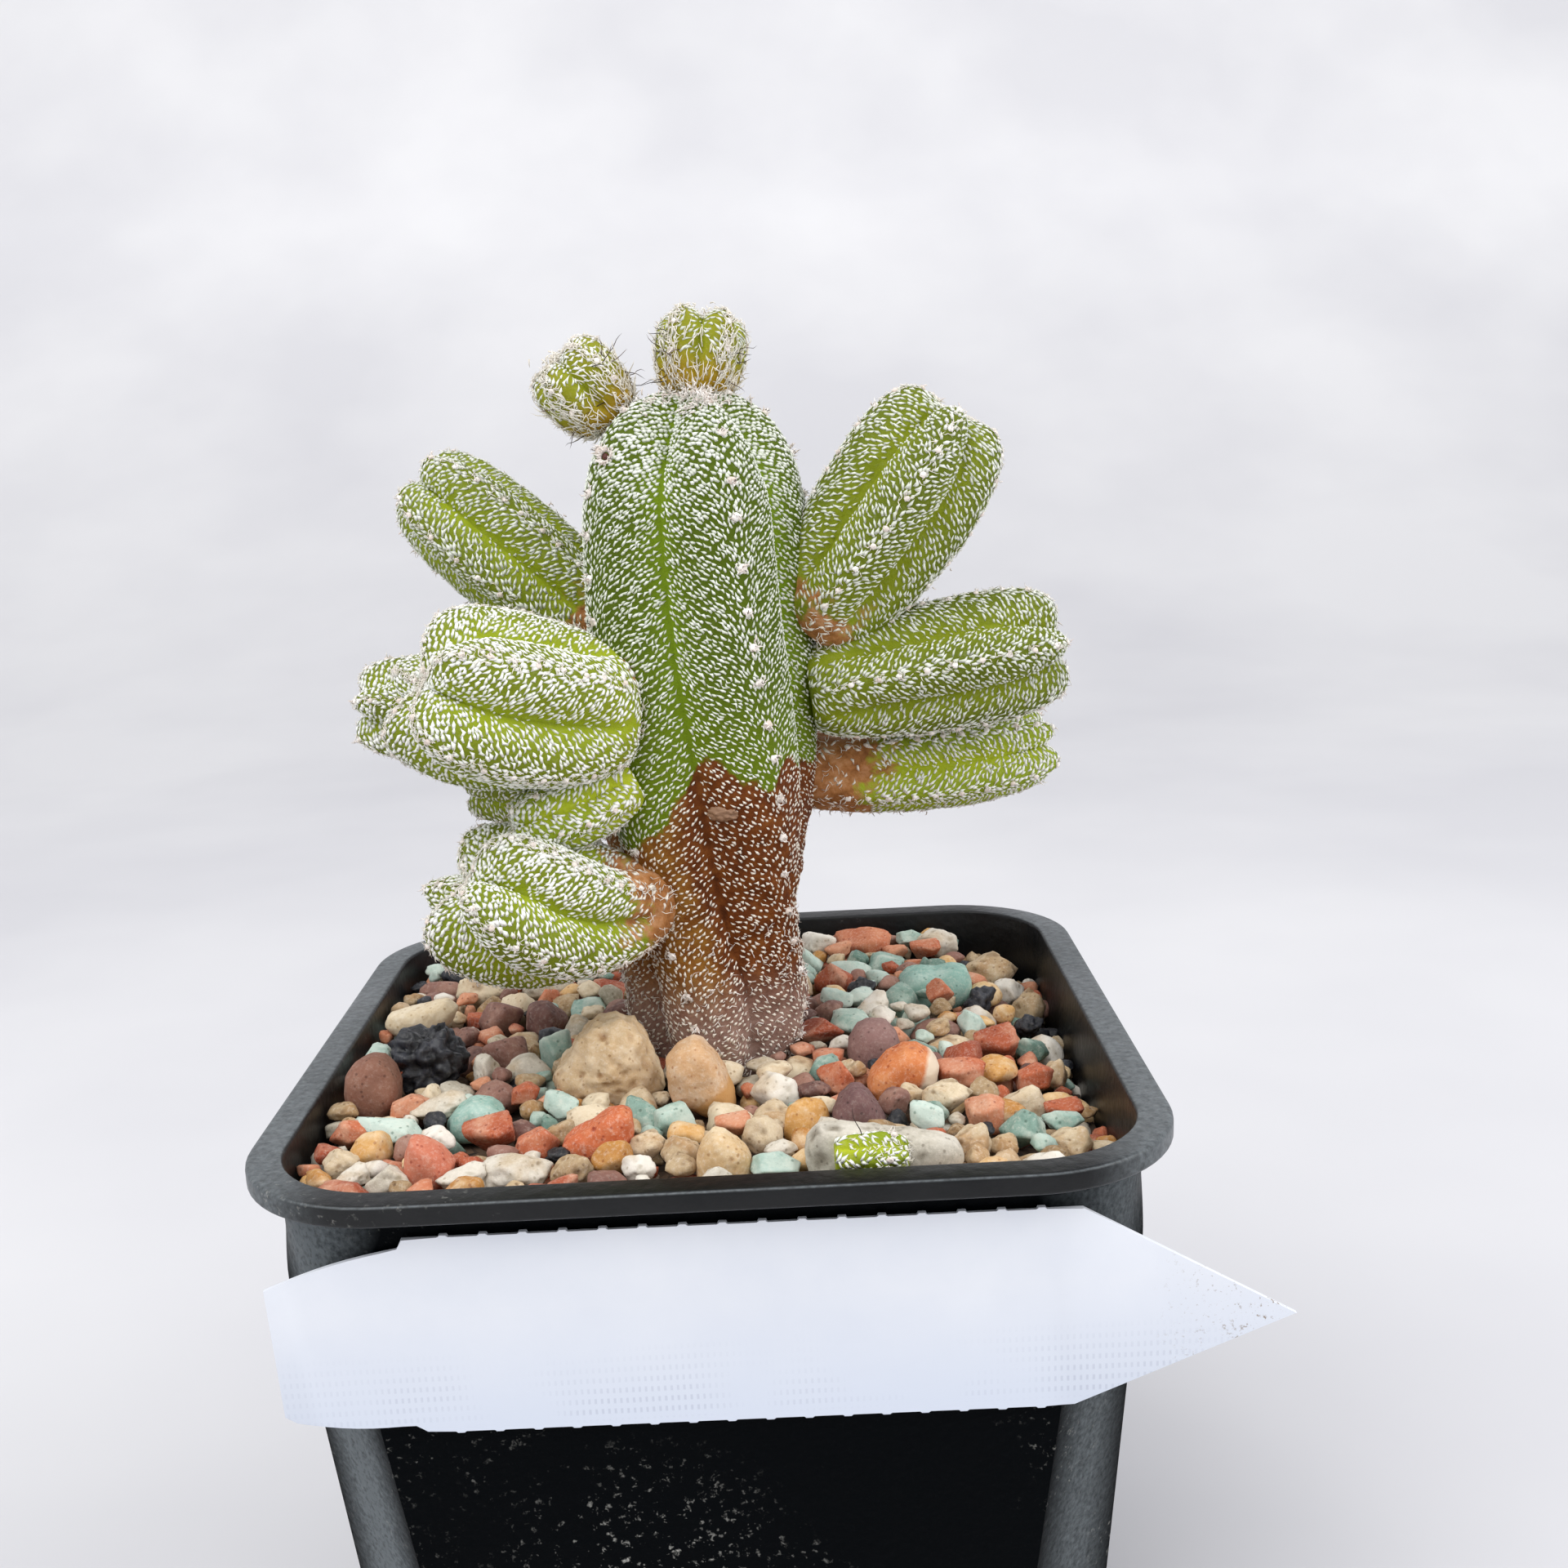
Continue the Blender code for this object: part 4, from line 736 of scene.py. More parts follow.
def buildGravel():
    # a height map of the heap grows stone by stone; each new stone takes the lowest of the places tried
    chance = np.random.default_rng(gravel["seed"])
    forms = {}
    for kind, look in stoneKinds.items():
        shape = formLooks[look["form"]]
        forms[kind] = {level: [stoneForm(chance, level, *shape) for _ in range(gravel["forms"])]
                       for level in (3, 4)}
    cell, edge = gravel["cell"], gravel["half"]
    line = np.arange(-edge, edge + cell, cell)
    gx, gy = np.meshgrid(line, line, indexing="ij")
    target = stoneLevel(gx, gy)
    top = target - gravel["depth"]
    inner = pot["wallHalfTop"] - gravel["taperLoss"] - pot["wall"] - gravel["wallGap"]
    radius = pot["cornerRadius"] - pot["wall"]
    qx, qy = (np.maximum(np.abs(g) - (inner - radius), 0) for g in (gx, gy))
    wall = np.hypot(qx, qy) > radius
    blocked = wall | (np.hypot(gx - gravel["stem"][0], gy - gravel["stem"][1]) < gravel["stemReach"])
    for name in [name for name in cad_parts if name.startswith("stone_")] + ["offset_loose"]:
        low, high = (np.array(corner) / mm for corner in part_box(name))
        centre, half = (low + high) / 2, (high - low) / 2
        away = np.hypot((gx - centre[0]) / half[0], (gy - centre[1]) / half[1])
        blocked |= away < gravel["nodeKeeps"]
        top = np.where(away < 1, np.maximum(top, centre[2] + half[2] * domeHeight(away)), top)
    parts = {kind: [] for kind in stoneKinds}
    kinds = list(stoneKinds)
    shares = np.array([stoneKinds[kind]["share"] for kind in kinds])
    shares = shares / shares.sum()

    def addStone(kind, place, size, about, tone, tilt=0.3, named=False):
        points, faces, pit = forms[kind][4 if named else 3][int(chance.integers(8))]
        turn = turnedBy(0, *chance.uniform(-tilt, tilt, 2))
        sized = (points @ turn.T) * np.array(size) / 2 @ turnedBy(about).T + np.array(place)
        parts[kind].append(chunk(sized, [faces], tone=tone, pit=pit))

    for kind, place, wide, high, tone in namedStones:
        size = (wide, 0.5 * (wide + high) * 0.95, high)
        away = np.hypot((gx - place[0]) / size[0] * 2, (gy - place[1]) / size[1] * 2)
        blocked |= away < gravel["namedKeeps"]
        top = np.where(away < 1, np.maximum(top, place[2] + high / 2 * domeHeight(away)), top)
        addStone(kind, place, size, 0.0, tone, 0.12, named=True)

    count = len(namedStones)
    for large, small, rise, pitDeep, patience in gravel["rounds"]:
        misses = 0
        while misses < patience:
            free = np.argwhere(~blocked & (top < target - pitDeep))
            if not len(free):
                break
            long = chance.uniform(small, large)
            wide, tall = long * chance.uniform(0.62, 1.0), long * chance.uniform(0.5, 0.88)
            about = chance.uniform(0, math.pi)
            c, s = math.cos(about), math.sin(about)
            reach = int(long / 2 / cell) + 2
            best = None
            for i, j in free[chance.integers(0, len(free), gravel["tries"])]:
                i0, i1, j0, j1 = i - reach, i + reach + 1, j - reach, j + reach + 1
                if i0 < 0 or j0 < 0 or i1 > len(line) or j1 > len(line):
                    continue
                dx, dy = gx[i0:i1, j0:j1] - line[i], gy[i0:i1, j0:j1] - line[j]
                away = np.hypot((dx * c + dy * s) / (long / 2), (dy * c - dx * s) / (wide / 2))
                near = away < gravel["keeps"]
                if blocked[i0:i1, j0:j1][near].any() or wall[i0:i1, j0:j1][away < 1].any():
                    continue
                under = away < gravel["rests"]
                dome = tall / 2 * domeHeight(away)
                centre = (top[i0:i1, j0:j1] + dome * gravel["nests"])[under].max()
                over = centre + tall / 2 - target[i, j]
                if best is None or over < best[0]:
                    best = (over, i, j, centre, dome, under, (i0, i1, j0, j1))
            if best is None or best[0] > rise + 0.25 * chance.normal():
                misses += 1
                continue
            over, i, j, centre, dome, under, (i0, i1, j0, j1) = best
            patch = top[i0:i1, j0:j1]
            patch[under] = np.maximum(patch[under], (centre + dome)[under])
            kind = kinds[chance.choice(len(kinds), p=shares)]
            tone = float(chance.uniform(0, 1))
            addStone(kind, (line[i], line[j], centre), (long, wide, tall), about, tone)
            count += 1
    print("gravel stones placed:", count)
    for kind, chunks in parts.items():
        look = stoneKinds[kind]
        makePiece("gravel_" + kind, chunks, [stoneMaterial(kind + " gravel", look)])
    buildGravelBase()


def crumbMaterial(name, size, shades, high):
    # loose crumbs: each has its own shade and stands up a little, and all are fully matt
    made, add = newMaterial(name)
    place = add("TexCoord")
    share = add("SeparateColor", [add("TexVoronoi", {"Vector": place, "Scale": perMm(size)}, out=1)])
    base = add("ValToRGB", {"Fac": share}, stops=shades)
    lump = add("TexVoronoi", {"Vector": place, "Scale": perMm(size)})
    bump = add("Bump", {"Height": lump, "Distance": high, "Strength": 0.8}, invert=True)
    finishMaterial(add, Base_Color=base, Roughness=0.95, Normal=bump)
    return made


def buildGravelBase():
    # the stones below the visible ones: a bed that closes the gaps between them, gritty and coloured dark as
    # painted shade in the gaps
    shades = [(0.0, "#2b231d"), (0.5, "#4a392c"), (1.0, "#6b5440")]
    made = crumbMaterial("dark grit and painted gap shade", 1.6, shades, 0.0006)
    rings = [wallRing(gravel["bedBottom"], pot["wall"] + gravel["bedGap"])]
    outer = wallRing(gravel["bedSide"], pot["wall"] + gravel["bedGap"])
    for scale in gravel["bedRings"]:
        ring = outer * np.array((scale, scale, 1.0))
        ring[:, 2] = stoneLevel(ring[:, 0], ring[:, 1]) - gravel["depth"] + gravel["bedRise"]
        rings.append(ring)
    grid = np.array(rings)
    faces, _ = skinOver(grid)
    makePiece("gravel_base", [chunk(grid.reshape(-1, 3), faces)], [made], ["gravel_bed"])


buildGravel()
print("gravel built")


# Larger stones: each takes its node's place, with its outline as seen from the front (x and height
# from the node's middle), its depth and shift, the planes it broke along, its relief and its pits
# (count, width and depth) as shares of its size, and its colours

heroStones = {
    "cream_boulder": dict(depth=8.6, rough=0.08, pits=(60, 0.10, 0.05), planes=13, dust=0.4,
        shades=("#b08f68", "#d2b58c", "#e6d3b4"),
        outline=((-6.2, -1.6), (-5.5, -0.1), (-4.2, 1.2), (-3.1, 3.3), (-1.1, 4.9), (1.4, 5.2), (3.0, 4.6),
                 (3.9, 3.5), (5.5, 0.1), (6.3, -3.1), (5.6, -4.3), (3.4, -5.0), (-1.5, -4.9), (-4.1, -4.0))),
    "tan_wedge": dict(depth=6.2, rough=0.035, pits=(9, 0.12, 0.04), planes=7, dust=0.35,
        shades=("#b5804b", "#cda57b", "#dcc7ae"), band=((0.55, 0.0, -0.83), -0.0645, "#c9975c"),
        outline=((-4.0, 2.1), (-2.5, 3.5), (-1.0, 4.2), (0.1, 4.0), (1.1, 2.7), (2.3, 0.5), (3.1, -1.7),
                 (3.3, -3.5), (2.7, -4.5), (1.5, -4.8), (-0.1, -4.3), (-1.9, -3.4), (-3.7, -2.6))),
    "lava_black": dict(depth=8.0, rough=0.20, pits=(150, 0.15, 0.16), planes=14, dust=0.05, roughness=0.42,
        shades=("#0c0d11", "#191b21", "#34363f"),
        outline=((-4.4, 1.9), (-3.6, 3.2), (-1.9, 4.1), (0.0, 4.4), (1.8, 3.8), (3.2, 2.6), (4.2, 1.2),
                 (3.8, -0.5), (3.1, -2.1), (1.7, -3.2), (-0.2, -3.7), (-2.0, -3.3), (-2.7, -2.1))),
    "brown_round": dict(depth=6.6, rough=0.02, planes=7, dust=0.12,
        shades=("#6d4a3c", "#865a48", "#97705c"),
        outline=((-3.2, 0.3), (-2.9, 2.2), (-1.9, 3.6), (-0.2, 4.2), (1.2, 3.9), (2.3, 2.7), (2.8, 0.8),
                 (2.6, -1.1), (1.6, -2.6), (0.0, -3.4), (-1.7, -3.0), (-2.8, -1.9))),
    "pumice_pale": dict(depth=5.4, rough=0.05, pits=(90, 0.09, 0.06), planes=14, dust=0.35, pitShadeStrength=1.0,
        shades=("#8a8274", "#bcb5a6", "#d6d0c4"),
        outline=((-7.6, 1.9), (-7.2, 3.2), (-6.0, 4.1), (-3.7, 4.1), (0.9, 3.3), (4.1, 2.9), (6.0, 2.7),
                 (7.0, 2.2), (7.7, 1.1), (7.6, -0.8), (5.0, -2.2), (0.0, -2.5), (-5.0, -2.2), (-7.3, -0.8))),
    "orange_banded": dict(depth=6.2, rough=0.025, pits=(6, 0.12, 0.03), planes=7, dust=0.25,
        shades=("#b1592d", "#c8743f", "#d8935f"), band=((0.93, 0.0, -0.36), -0.0072, "#e0cdb6"),
        outline=((-3.9, -1.2), (-3.4, 0.5), (-1.6, 2.3), (0.3, 3.2), (1.7, 3.2), (3.2, 2.4), (4.0, 1.1),
                 (3.7, -0.6), (2.3, -1.6), (0.4, -2.4), (-1.8, -2.8), (-3.0, -2.5))),
    "purple_back": dict(depth=5.4, rough=0.03, planes=6, dust=0.12,
        shades=("#6f504d", "#866560", "#96776f"),
        outline=((-2.9, 1.8), (-1.9, 3.5), (-0.6, 4.1), (1.4, 3.9), (2.6, 2.5), (2.9, 1.2), (2.4, -0.4),
                 (1.2, -2.1), (-0.6, -3.2), (-1.9, -3.3), (-2.6, -1.7), (-3.0, -0.1))),
    "purple_front": dict(depth=5.0, rough=0.03, planes=7, dust=0.12,
        shades=("#54393a", "#6e4e4d", "#80615b"),
        outline=((-2.5, -0.1), (-1.7, 1.6), (-0.5, 2.7), (0.5, 2.8), (1.5, 1.9), (2.3, 0.6), (3.0, -0.8),
                 (3.0, -2.2), (1.1, -2.6), (-0.7, -2.5), (-2.2, -1.8))),
    "red_block": dict(depth=5.2, rough=0.05, pits=(10, 0.12, 0.04), planes=9, dust=0.3,
        shades=("#a8482a", "#c3653b", "#d08358"),
        outline=((-3.7, 0.1), (-2.8, 1.0), (-0.7, 1.9), (1.1, 3.1), (2.5, 3.3), (3.4, 2.6), (3.5, 0.9),
                 (3.3, -1.0), (2.0, -1.9), (-0.5, -2.2), (-2.1, -2.1), (-3.3, -1.4))),
    "red_wedge": dict(depth=4.4, rough=0.03, planes=6, dust=0.25,
        shades=("#ad5640", "#c57257", "#d18e72"),
        outline=((-2.6, -0.6), (-2.3, 1.6), (-1.6, 3.4), (-0.2, 2.9), (1.3, 1.9), (2.4, 0.4), (2.0, -1.2),
                 (0.5, -2.6), (-1.3, -2.8), (-2.7, -2.2))),
    "green_slab": dict(depth=5.6, rough=0.04, planes=9, dust=0.35,
        shades=("#65887c", "#8aaea1", "#b4cbc1"),
        outline=((-3.5, -0.6), (-2.2, 0.9), (-0.6, 1.7), (1.3, 1.3), (2.6, 0.2), (2.6, -1.4), (0.8, -2.4),
                 (-0.7, -2.8), (-2.5, -2.8), (-3.4, -2.2))),
    "sand_face": dict(depth=4.6, rough=0.04, pits=(8, 0.1, 0.03), planes=7, dust=0.4,
        shades=("#b08a58", "#cfae80", "#e2cfae"),
        outline=((-2.8, -1.6), (-2.7, 0.2), (-2.1, 1.8), (-0.9, 3.1), (0.1, 2.8), (1.4, 1.8), (2.2, 0.9),
                 (2.6, -0.1), (2.5, -1.9), (0.2, -2.6))),
    "cream_long": dict(depth=4.8, rough=0.05, pits=(14, 0.12, 0.05), planes=8, dust=0.35,
        shades=("#b89d78", "#d6c3a2", "#e8dcc4"), shift=(0.0, -2.0, 1.2),
        outline=((-5.0, -0.4), (-4.4, 0.9), (-2.1, 1.4), (0.5, 1.9), (2.8, 2.4), (4.0, 1.3), (3.4, -0.2),
                 (1.6, -1.2), (-0.4, -1.7), (-2.2, -2.3), (-3.8, -1.7))),
    "turquoise_rear": dict(depth=6.8, rough=0.04, planes=10, dust=0.3,
        shades=("#668f83", "#8ab0a3", "#b5cec3"),
        outline=((-4.6, 1.6), (-3.4, 2.9), (-1.9, 3.2), (-0.1, 2.8), (2.3, 3.2), (4.0, 2.9), (4.7, 1.2),
                 (4.4, -0.8), (2.9, -2.1), (-0.2, -2.8), (-2.8, -2.4), (-4.4, -0.8))),
}
# sharpness of the edges, how near the middle a plane may cut (1 only touches), how much of the size
# lost by the cuts comes back, and the size of the relief in mm
heroForm = {"seed": 5, "edges": 50, "nearest": 0.93, "regained": 0.8, "relief": 2.2}


def outlineReach(outline, depth, directions):
    # a body whose outline in the front view is the given one, rounded off to its depth
    start = np.array(outline, float)
    side = np.roll(start, -1, axis=0) - start
    even = np.linspace(-math.pi, math.pi, 360, endpoint=False) + 1e-4  # no ray runs along a side
    x, z = np.cos(even)[:, None], np.sin(even)[:, None]
    turned = x * side[:, 1] - z * side[:, 0]
    # where each ray meets the line of each side, and whether that lies on the side itself
    away = (start[:, 0] * side[:, 1] - start[:, 1] * side[:, 0]) / turned
    share = (start[:, 0] * z - start[:, 1] * x) / turned
    reach = np.where((away > 0) & (share >= 0) & (share <= 1), away, 0).max(1)
    reach = sum(np.roll(reach, k) for k in range(-2, 3)) / 5
    angle = np.arctan2(directions[:, 2], directions[:, 0])
    edge = np.interp(angle, even, reach, period=2 * math.pi)
    level = np.hypot(directions[:, 0], directions[:, 2])
    return 1 / ((level / edge) ** 3 + (np.abs(directions[:, 1]) / (depth / 2)) ** 3) ** (1 / 3)


def buildHeroStones():
    chance = np.random.default_rng(heroForm["seed"])
    for name, hero in heroStones.items():
        node, pits = "stone_" + name, hero.get("pits")
        directions, faces = spheres[5 if pits else 4]
        low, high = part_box(node)
        centre = np.array((low + high) / 2) / mm + np.array(hero.get("shift", (0, 0, 0)))
        base = outlineReach(hero["outline"], hero["depth"], directions)
        reach = roundedReach(directions, chance, hero["planes"], heroForm["edges"], heroForm["nearest"], base)
        reach = reach * (base.mean() / reach.mean()) ** heroForm["regained"]
        size = reach.mean()
        grain = bumps(directions * reach[:, None], heroForm["relief"], float(chance.uniform(0, 9)))
        reach = reach + size * hero["rough"] * (grain - 0.2)
        pit = craters(directions, chance, *pits) if pits else np.zeros(len(directions))
        points = directions * (reach - size * pit)[:, None] + centre
        look = {**hero, "grain": 0.4, "bump": 0.6, "rough": hero.get("roughness", 0.82),
                "stain": hero["shades"][2]}
        made = stoneMaterial(name.replace("_", " ") + " rock", look)
        deep = np.clip(pit / pits[2], 0, 1) if pits else pit
        makePiece("rock_" + name, [chunk(points, [faces], tone=0.5, pit=deep)], [made], [node])


buildHeroStones()
print("larger stones built")


# Soil, a carried-over node

# peat and fine pumice: crumbly and dark, with a few pale grains
soilShades = [(0.0, "#231a12"), (0.8, "#46362a"), (0.95, "#9a8f80")]
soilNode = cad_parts["soil"]
soilNode.data.materials.clear()
soilNode.data.materials.append(crumbMaterial("peat and pumice mix", 2.0, soilShades, 0.0008))
print("soil dressed")


# Plant

stem = {
    "axis": (0.2, 2.5), "seed": 3,
    # height and radius; the angle of each crest; the twist at each height; the cork's top at each angle
    "profile": ((70.0, 4.6), (73.0, 6.9), (76.5, 8.7), (81.0, 10.2), (86.0, 10.6), (92.0, 10.5), (98.0, 11.4),
                (105.0, 12.6), (112.0, 13.2), (120.0, 13.2), (130.0, 12.9), (138.0, 12.5), (143.0, 11.5),
                (147.0, 9.3), (149.5, 6.2), (150.5, 2.8), (150.1, 0.3)),
    "ribs": (-58.0, 24.0, 98.0, 170.0, 236.0),
    "turn": ((74.0, 50.0), (85.0, 42.0), (92.0, 30.0), (100.0, 21.0), (112.0, 12.0), (124.0, 4.0),
             (136.0, 0.0)),
    "cork": ((-180, 108), (-110, 106), (-60, 103), (-31, 103.1), (-13, 107.6), (1, 112.3), (8, 112.0),
             (19, 110.5), (36, 108.6), (45, 111.9), (60, 110), (90, 109.5), (140, 108.5), (180, 108)),
    # the grooves' depth, as shares of the radius that grow between two heights
    "grooves": ((69, 80, 0.24), (138, 146, 0.12)),
    "half": 11, "step": 0.75, "crownSunk": 3.0, "sunkFrom": (139, 149),
    # size of the relief, its height, and what it gains on the cork
    "relief": (2.4, 0.10, 0.30), "foot": (80, 89), "young": (108, 124),
    "areoles": dict(every=4.3, start=8.0, pad=(1.05, 0.9, 0.7)), "hairyFrom": (75, 93),
    "hole": (-8.0, -4.3, 144.1), "holeSize": (0.7, 0.7, 0.3), "holeRim": 0.55, "holeClear": 0.8,
    "scar": (2.2, -8.3, 106.4), "scarSize": (3.2, 1.6, 1.0),
    "apexWool": (1.4, -1.0, 150.2), "apexSpread": (2.6, 2.2, 0.1), "apexTufts": 46,
}
# the rows of flecks: their slant and strays in degrees, the gap between flecks at shares of the length,
# how much further apart they are along a row, and their length and width in gaps
stemWool = {
    "slant": 36, "stretch": 1.4, "stray": 8, "gap": ((0.0, 0.42, 0.58, 1.0), (0.64, 0.60, 0.55, 0.48)),
    "from": 74, "bareGroove": 0.40, "bareBelow": (142, 147), "denseFrom": (112, 126),
    "crownFrom": (134, 147), "long": dict(plain=1.42, dense=0.26, aged=-0.30),
    "wide": dict(plain=0.50, dense=0.10, crest=0.10, crown=0.42),
}
pupWoolLook = {
    "slant": 38, "stretch": 1.6, "stray": 10, "gap": ((0.0, 1.0), (0.57, 0.52)),
    "long": dict(plain=1.15, opened=0.75), "wide": dict(plain=0.46, opened=0.12, thick=0.22),
}
hairs = {
    # lengths between two values, some scaled; how thick, how curled, how far lifted off the skin
    "foot": dict(count=900, long=(0.5, 1.3), thick=0.07, curl=0.3, lift=0.25, segments=2),
    "holeRim": dict(count=70, long=(0.5, 1.0), thick=0.12, curl=0.12, segments=3),
    "felt": dict(count=230, long=(0.8, 1.9), scale=0.55, thick=0.06, curl=0.2, lift=0.25, segments=2),
    "ballFelt": dict(count=850, long=(0.8, 1.9), scale=0.6, thick=0.085, curl=0.2, lift=0.25, segments=2),
    "ballWool": dict(count=420, long=(1.0, 2.4), thick=0.09, curl=0.09, segments=3),
    "ballFoot": dict(count=90, long=(1.0, 2.0), thick=0.05, curl=0.12, lift=0.4, segments=4),
    "spines": dict(count=22, long=(1.8, 3.2), thick=0.065, curl=0.08, segments=5),
    "neck": dict(count=130, long=(0.6, 1.7), thick=0.055, curl=0.25, lift=0.6, segments=3),
}
tufts = {
    # the longest hair, how many there are, how thick, and the spread of their roots in sizes
    "stemAreole": dict(size=0.95, count=18, thick=0.14), "stemSpines": dict(size=0.5, count=3, thick=0.06),
    "apex": dict(size=1.05, count=9, thick=0.12, spread=0.4),
    "pupAreole": dict(size=0.85, count=6, thick=0.10),
    "notch": dict(size=1.5, count=60, thick=0.10, spread=0.5),
}
pupForm = {
    # small pups have a finer grid: its step and half the columns of a rib
    "smallBelow": 5.5, "smallGrid": (0.6, 7), "grid": (0.75, 9),
    "grooves": ((0, 0.25, 0.32), (0.75, 1, 0.16)),  # between two shares of the length
    "relief": (2.0, 0.14), "areoles": dict(every=2.8, start=3.5, pad=(0.7, 0.65, 0.5)), "seed": 100,
}
pups = {
    # where it sits and ends, its largest radius, the share of the length where that is, the neck's
    # radius, how late the neck widens, turn and twist in degrees, how far the middle bends away, how
    # far the neck's cork reaches, the weight of its felt, and how deep its tip lies between the lobes
    "upper_left": dict(base=(-9.4, 8.0, 123.6), tip=(-32.0, 10.0, 143.6), radius=7.2, wide=0.55, neck=2.8,
                       taper=1.1, turn=30, brown=6.0, felt=1.1),
    "mid_left": dict(base=(-7.6, -4.5, 117.2), tip=(-29.8, -15.8, 124.0), radius=9.9, wide=0.52, neck=4.0,
                     taper=0.9, turn=12, bend=(-1.0, 0, -1.2), brown=1.0, felt=1.15, lobe=0.14),
    "mid_left_rear": dict(base=(-10.0, 8.5, 114.5), tip=(-41.2, 10.0, 117.0), radius=6.4, wide=0.60, neck=3.0,
                          taper=1.0, turn=0, brown=3.0, felt=1.25),
    "small_left": dict(base=(-7.0, -7.0, 110.2), tip=(-20.8, -10.6, 106.0), radius=4.1, wide=0.50, neck=1.9,
                       taper=0.9, turn=38, bend=(0, 0, -0.6), brown=0.0, felt=1.2),
    "lower_left": dict(base=(-4.4, -4.0, 97.2), tip=(-27.6, -15.2, 103.8), radius=9.1, wide=0.62, neck=3.4,
                       taper=2.1, turn=4, twist=40, bend=(-0.6, 0, -3.6), brown=6.5, felt=1.2, lobe=0.14),
    "lower_rear": dict(base=(-9.0, 10.0, 105.6), tip=(-29.6, 16.0, 105.6), radius=4.6, wide=0.55, neck=2.6,
                       taper=1.0, turn=0, brown=2.0),
    "drooping_rear": dict(base=(-7.4, 7.0, 100.6), tip=(-11.8, 12.0, 94.0), radius=3.3, wide=0.50, neck=2.0,
                          taper=1.0, turn=0, brown=0.0),
    "high_rear": dict(base=(-7.5, 12.0, 121.5), tip=(-26.0, 19.0, 124.4), radius=5.0, wide=0.55, neck=2.6,
                      taper=1.0, turn=0, brown=2.0),
    "upper_right": dict(base=(11.6, 4.0, 124.4), tip=(30.4, 4.0, 148.8), radius=8.8, wide=0.60, neck=3.4,
                        taper=1.0, turn=18, bend=(0.6, 0, -0.4), brown=4.5),
    "mid_right": dict(base=(12.0, 3.5, 117.2), tip=(42.4, 6.0, 121.2), radius=7.6, wide=0.64, neck=3.6,
                      taper=0.9, turn=11, brown=0.0),
    "lower_right": dict(base=(10.5, 8.5, 107.2), tip=(42.4, 14.0, 108.4), radius=5.8, wide=0.62, neck=3.6,
                        taper=1.1, turn=48, bend=(0, 0, -1.0), brown=9.0),
    "crown_left": dict(base=(-7.4, 3.5, 147.9), tip=(-14.0, 2.2, 155.2), radius=4.9, wide=0.54, neck=1.8,
                       taper=0.9, turn=15, brown=0.0, woolly=True, lobe=0.16),
    "crown_right": dict(base=(1.4, 4.5, 149.8), tip=(2.8, 6.5, 159.7), radius=5.1, wide=0.60, neck=2.0,
                        taper=0.8, turn=0, brown=0.0, woolly=True, lobe=0.2),
    "loose": dict(base=(11.8, -38.0, 79.6), tip=(19.2, -38.2, 79.8), radius=2.3, wide=0.50, neck=1.2,
                  taper=0.9, turn=10, brown=0.0),
}


def ribReach(across, radius, depth):
    # from the crest to the groove a rib falls away slowly and then steeply; the crest is a little rounded
    soft = np.sqrt(across**2 + 0.01) - 0.1
    return radius * (1 - depth * (0.35 * soft + 0.65 * across**2.6))


def farAlong(points):
    # distance from the first point, along the line through them all
    steps = np.linalg.norm(np.diff(np.asarray(points, float), axis=0), axis=1)
    return np.concatenate([[0], np.cumsum(steps)])


def evenCurve(points, step):
    # the same curve through points, at even steps
    far = farAlong(points)
    places = np.linspace(0, far[-1], int(far[-1] / step) + 1)
    return np.stack([np.interp(places, far, column) for column in points.T], -1)


def grooveDepth(grooves, places):
    # share of the radius that the grooves take away at each place
    return sum(amount * smoothstep(low, high, places) for low, high, amount in grooves)


def stemGrid():
    chord = farAlong(stem["profile"])
    fine = np.linspace(0, chord[-1], 2000)
    heights, radii = (throughStops(list(zip(chord, values)), fine) for values in zip(*stem["profile"]))
    curve = evenCurve(np.stack([heights, np.maximum(radii, 0.3)], -1), stem["step"])
    half = stem["half"]
    depth = grooveDepth(stem["grooves"], curve[:, 0])
    turn = throughStops(stem["turn"], curve[:, 0])
    crown = stem["crownSunk"] * smoothstep(*stem["sunkFrom"], curve[:, 0])
    columns = []
    for k, crest in enumerate(stem["ribs"]):
        following = stem["ribs"][(k + 1) % 5] + (360 if k == 4 else 0)
        for j in range(2 * half):
            across = 1 - abs(1 - j / half)
            angle = np.radians(crest + turn + (following - crest) * j / (2 * half))
            reach = ribReach(across, curve[:, 1], depth)
            # the grooves run down over the crown, between the ends of the ribs
            sunk = crown * across**1.5 * np.minimum(1, reach / 5)
            columns.append(np.stack([stem["axis"][0] + reach * np.sin(angle),
                                     stem["axis"][1] - reach * np.cos(angle), curve[:, 0] - sunk], -1))
    return np.stack(columns, 1)


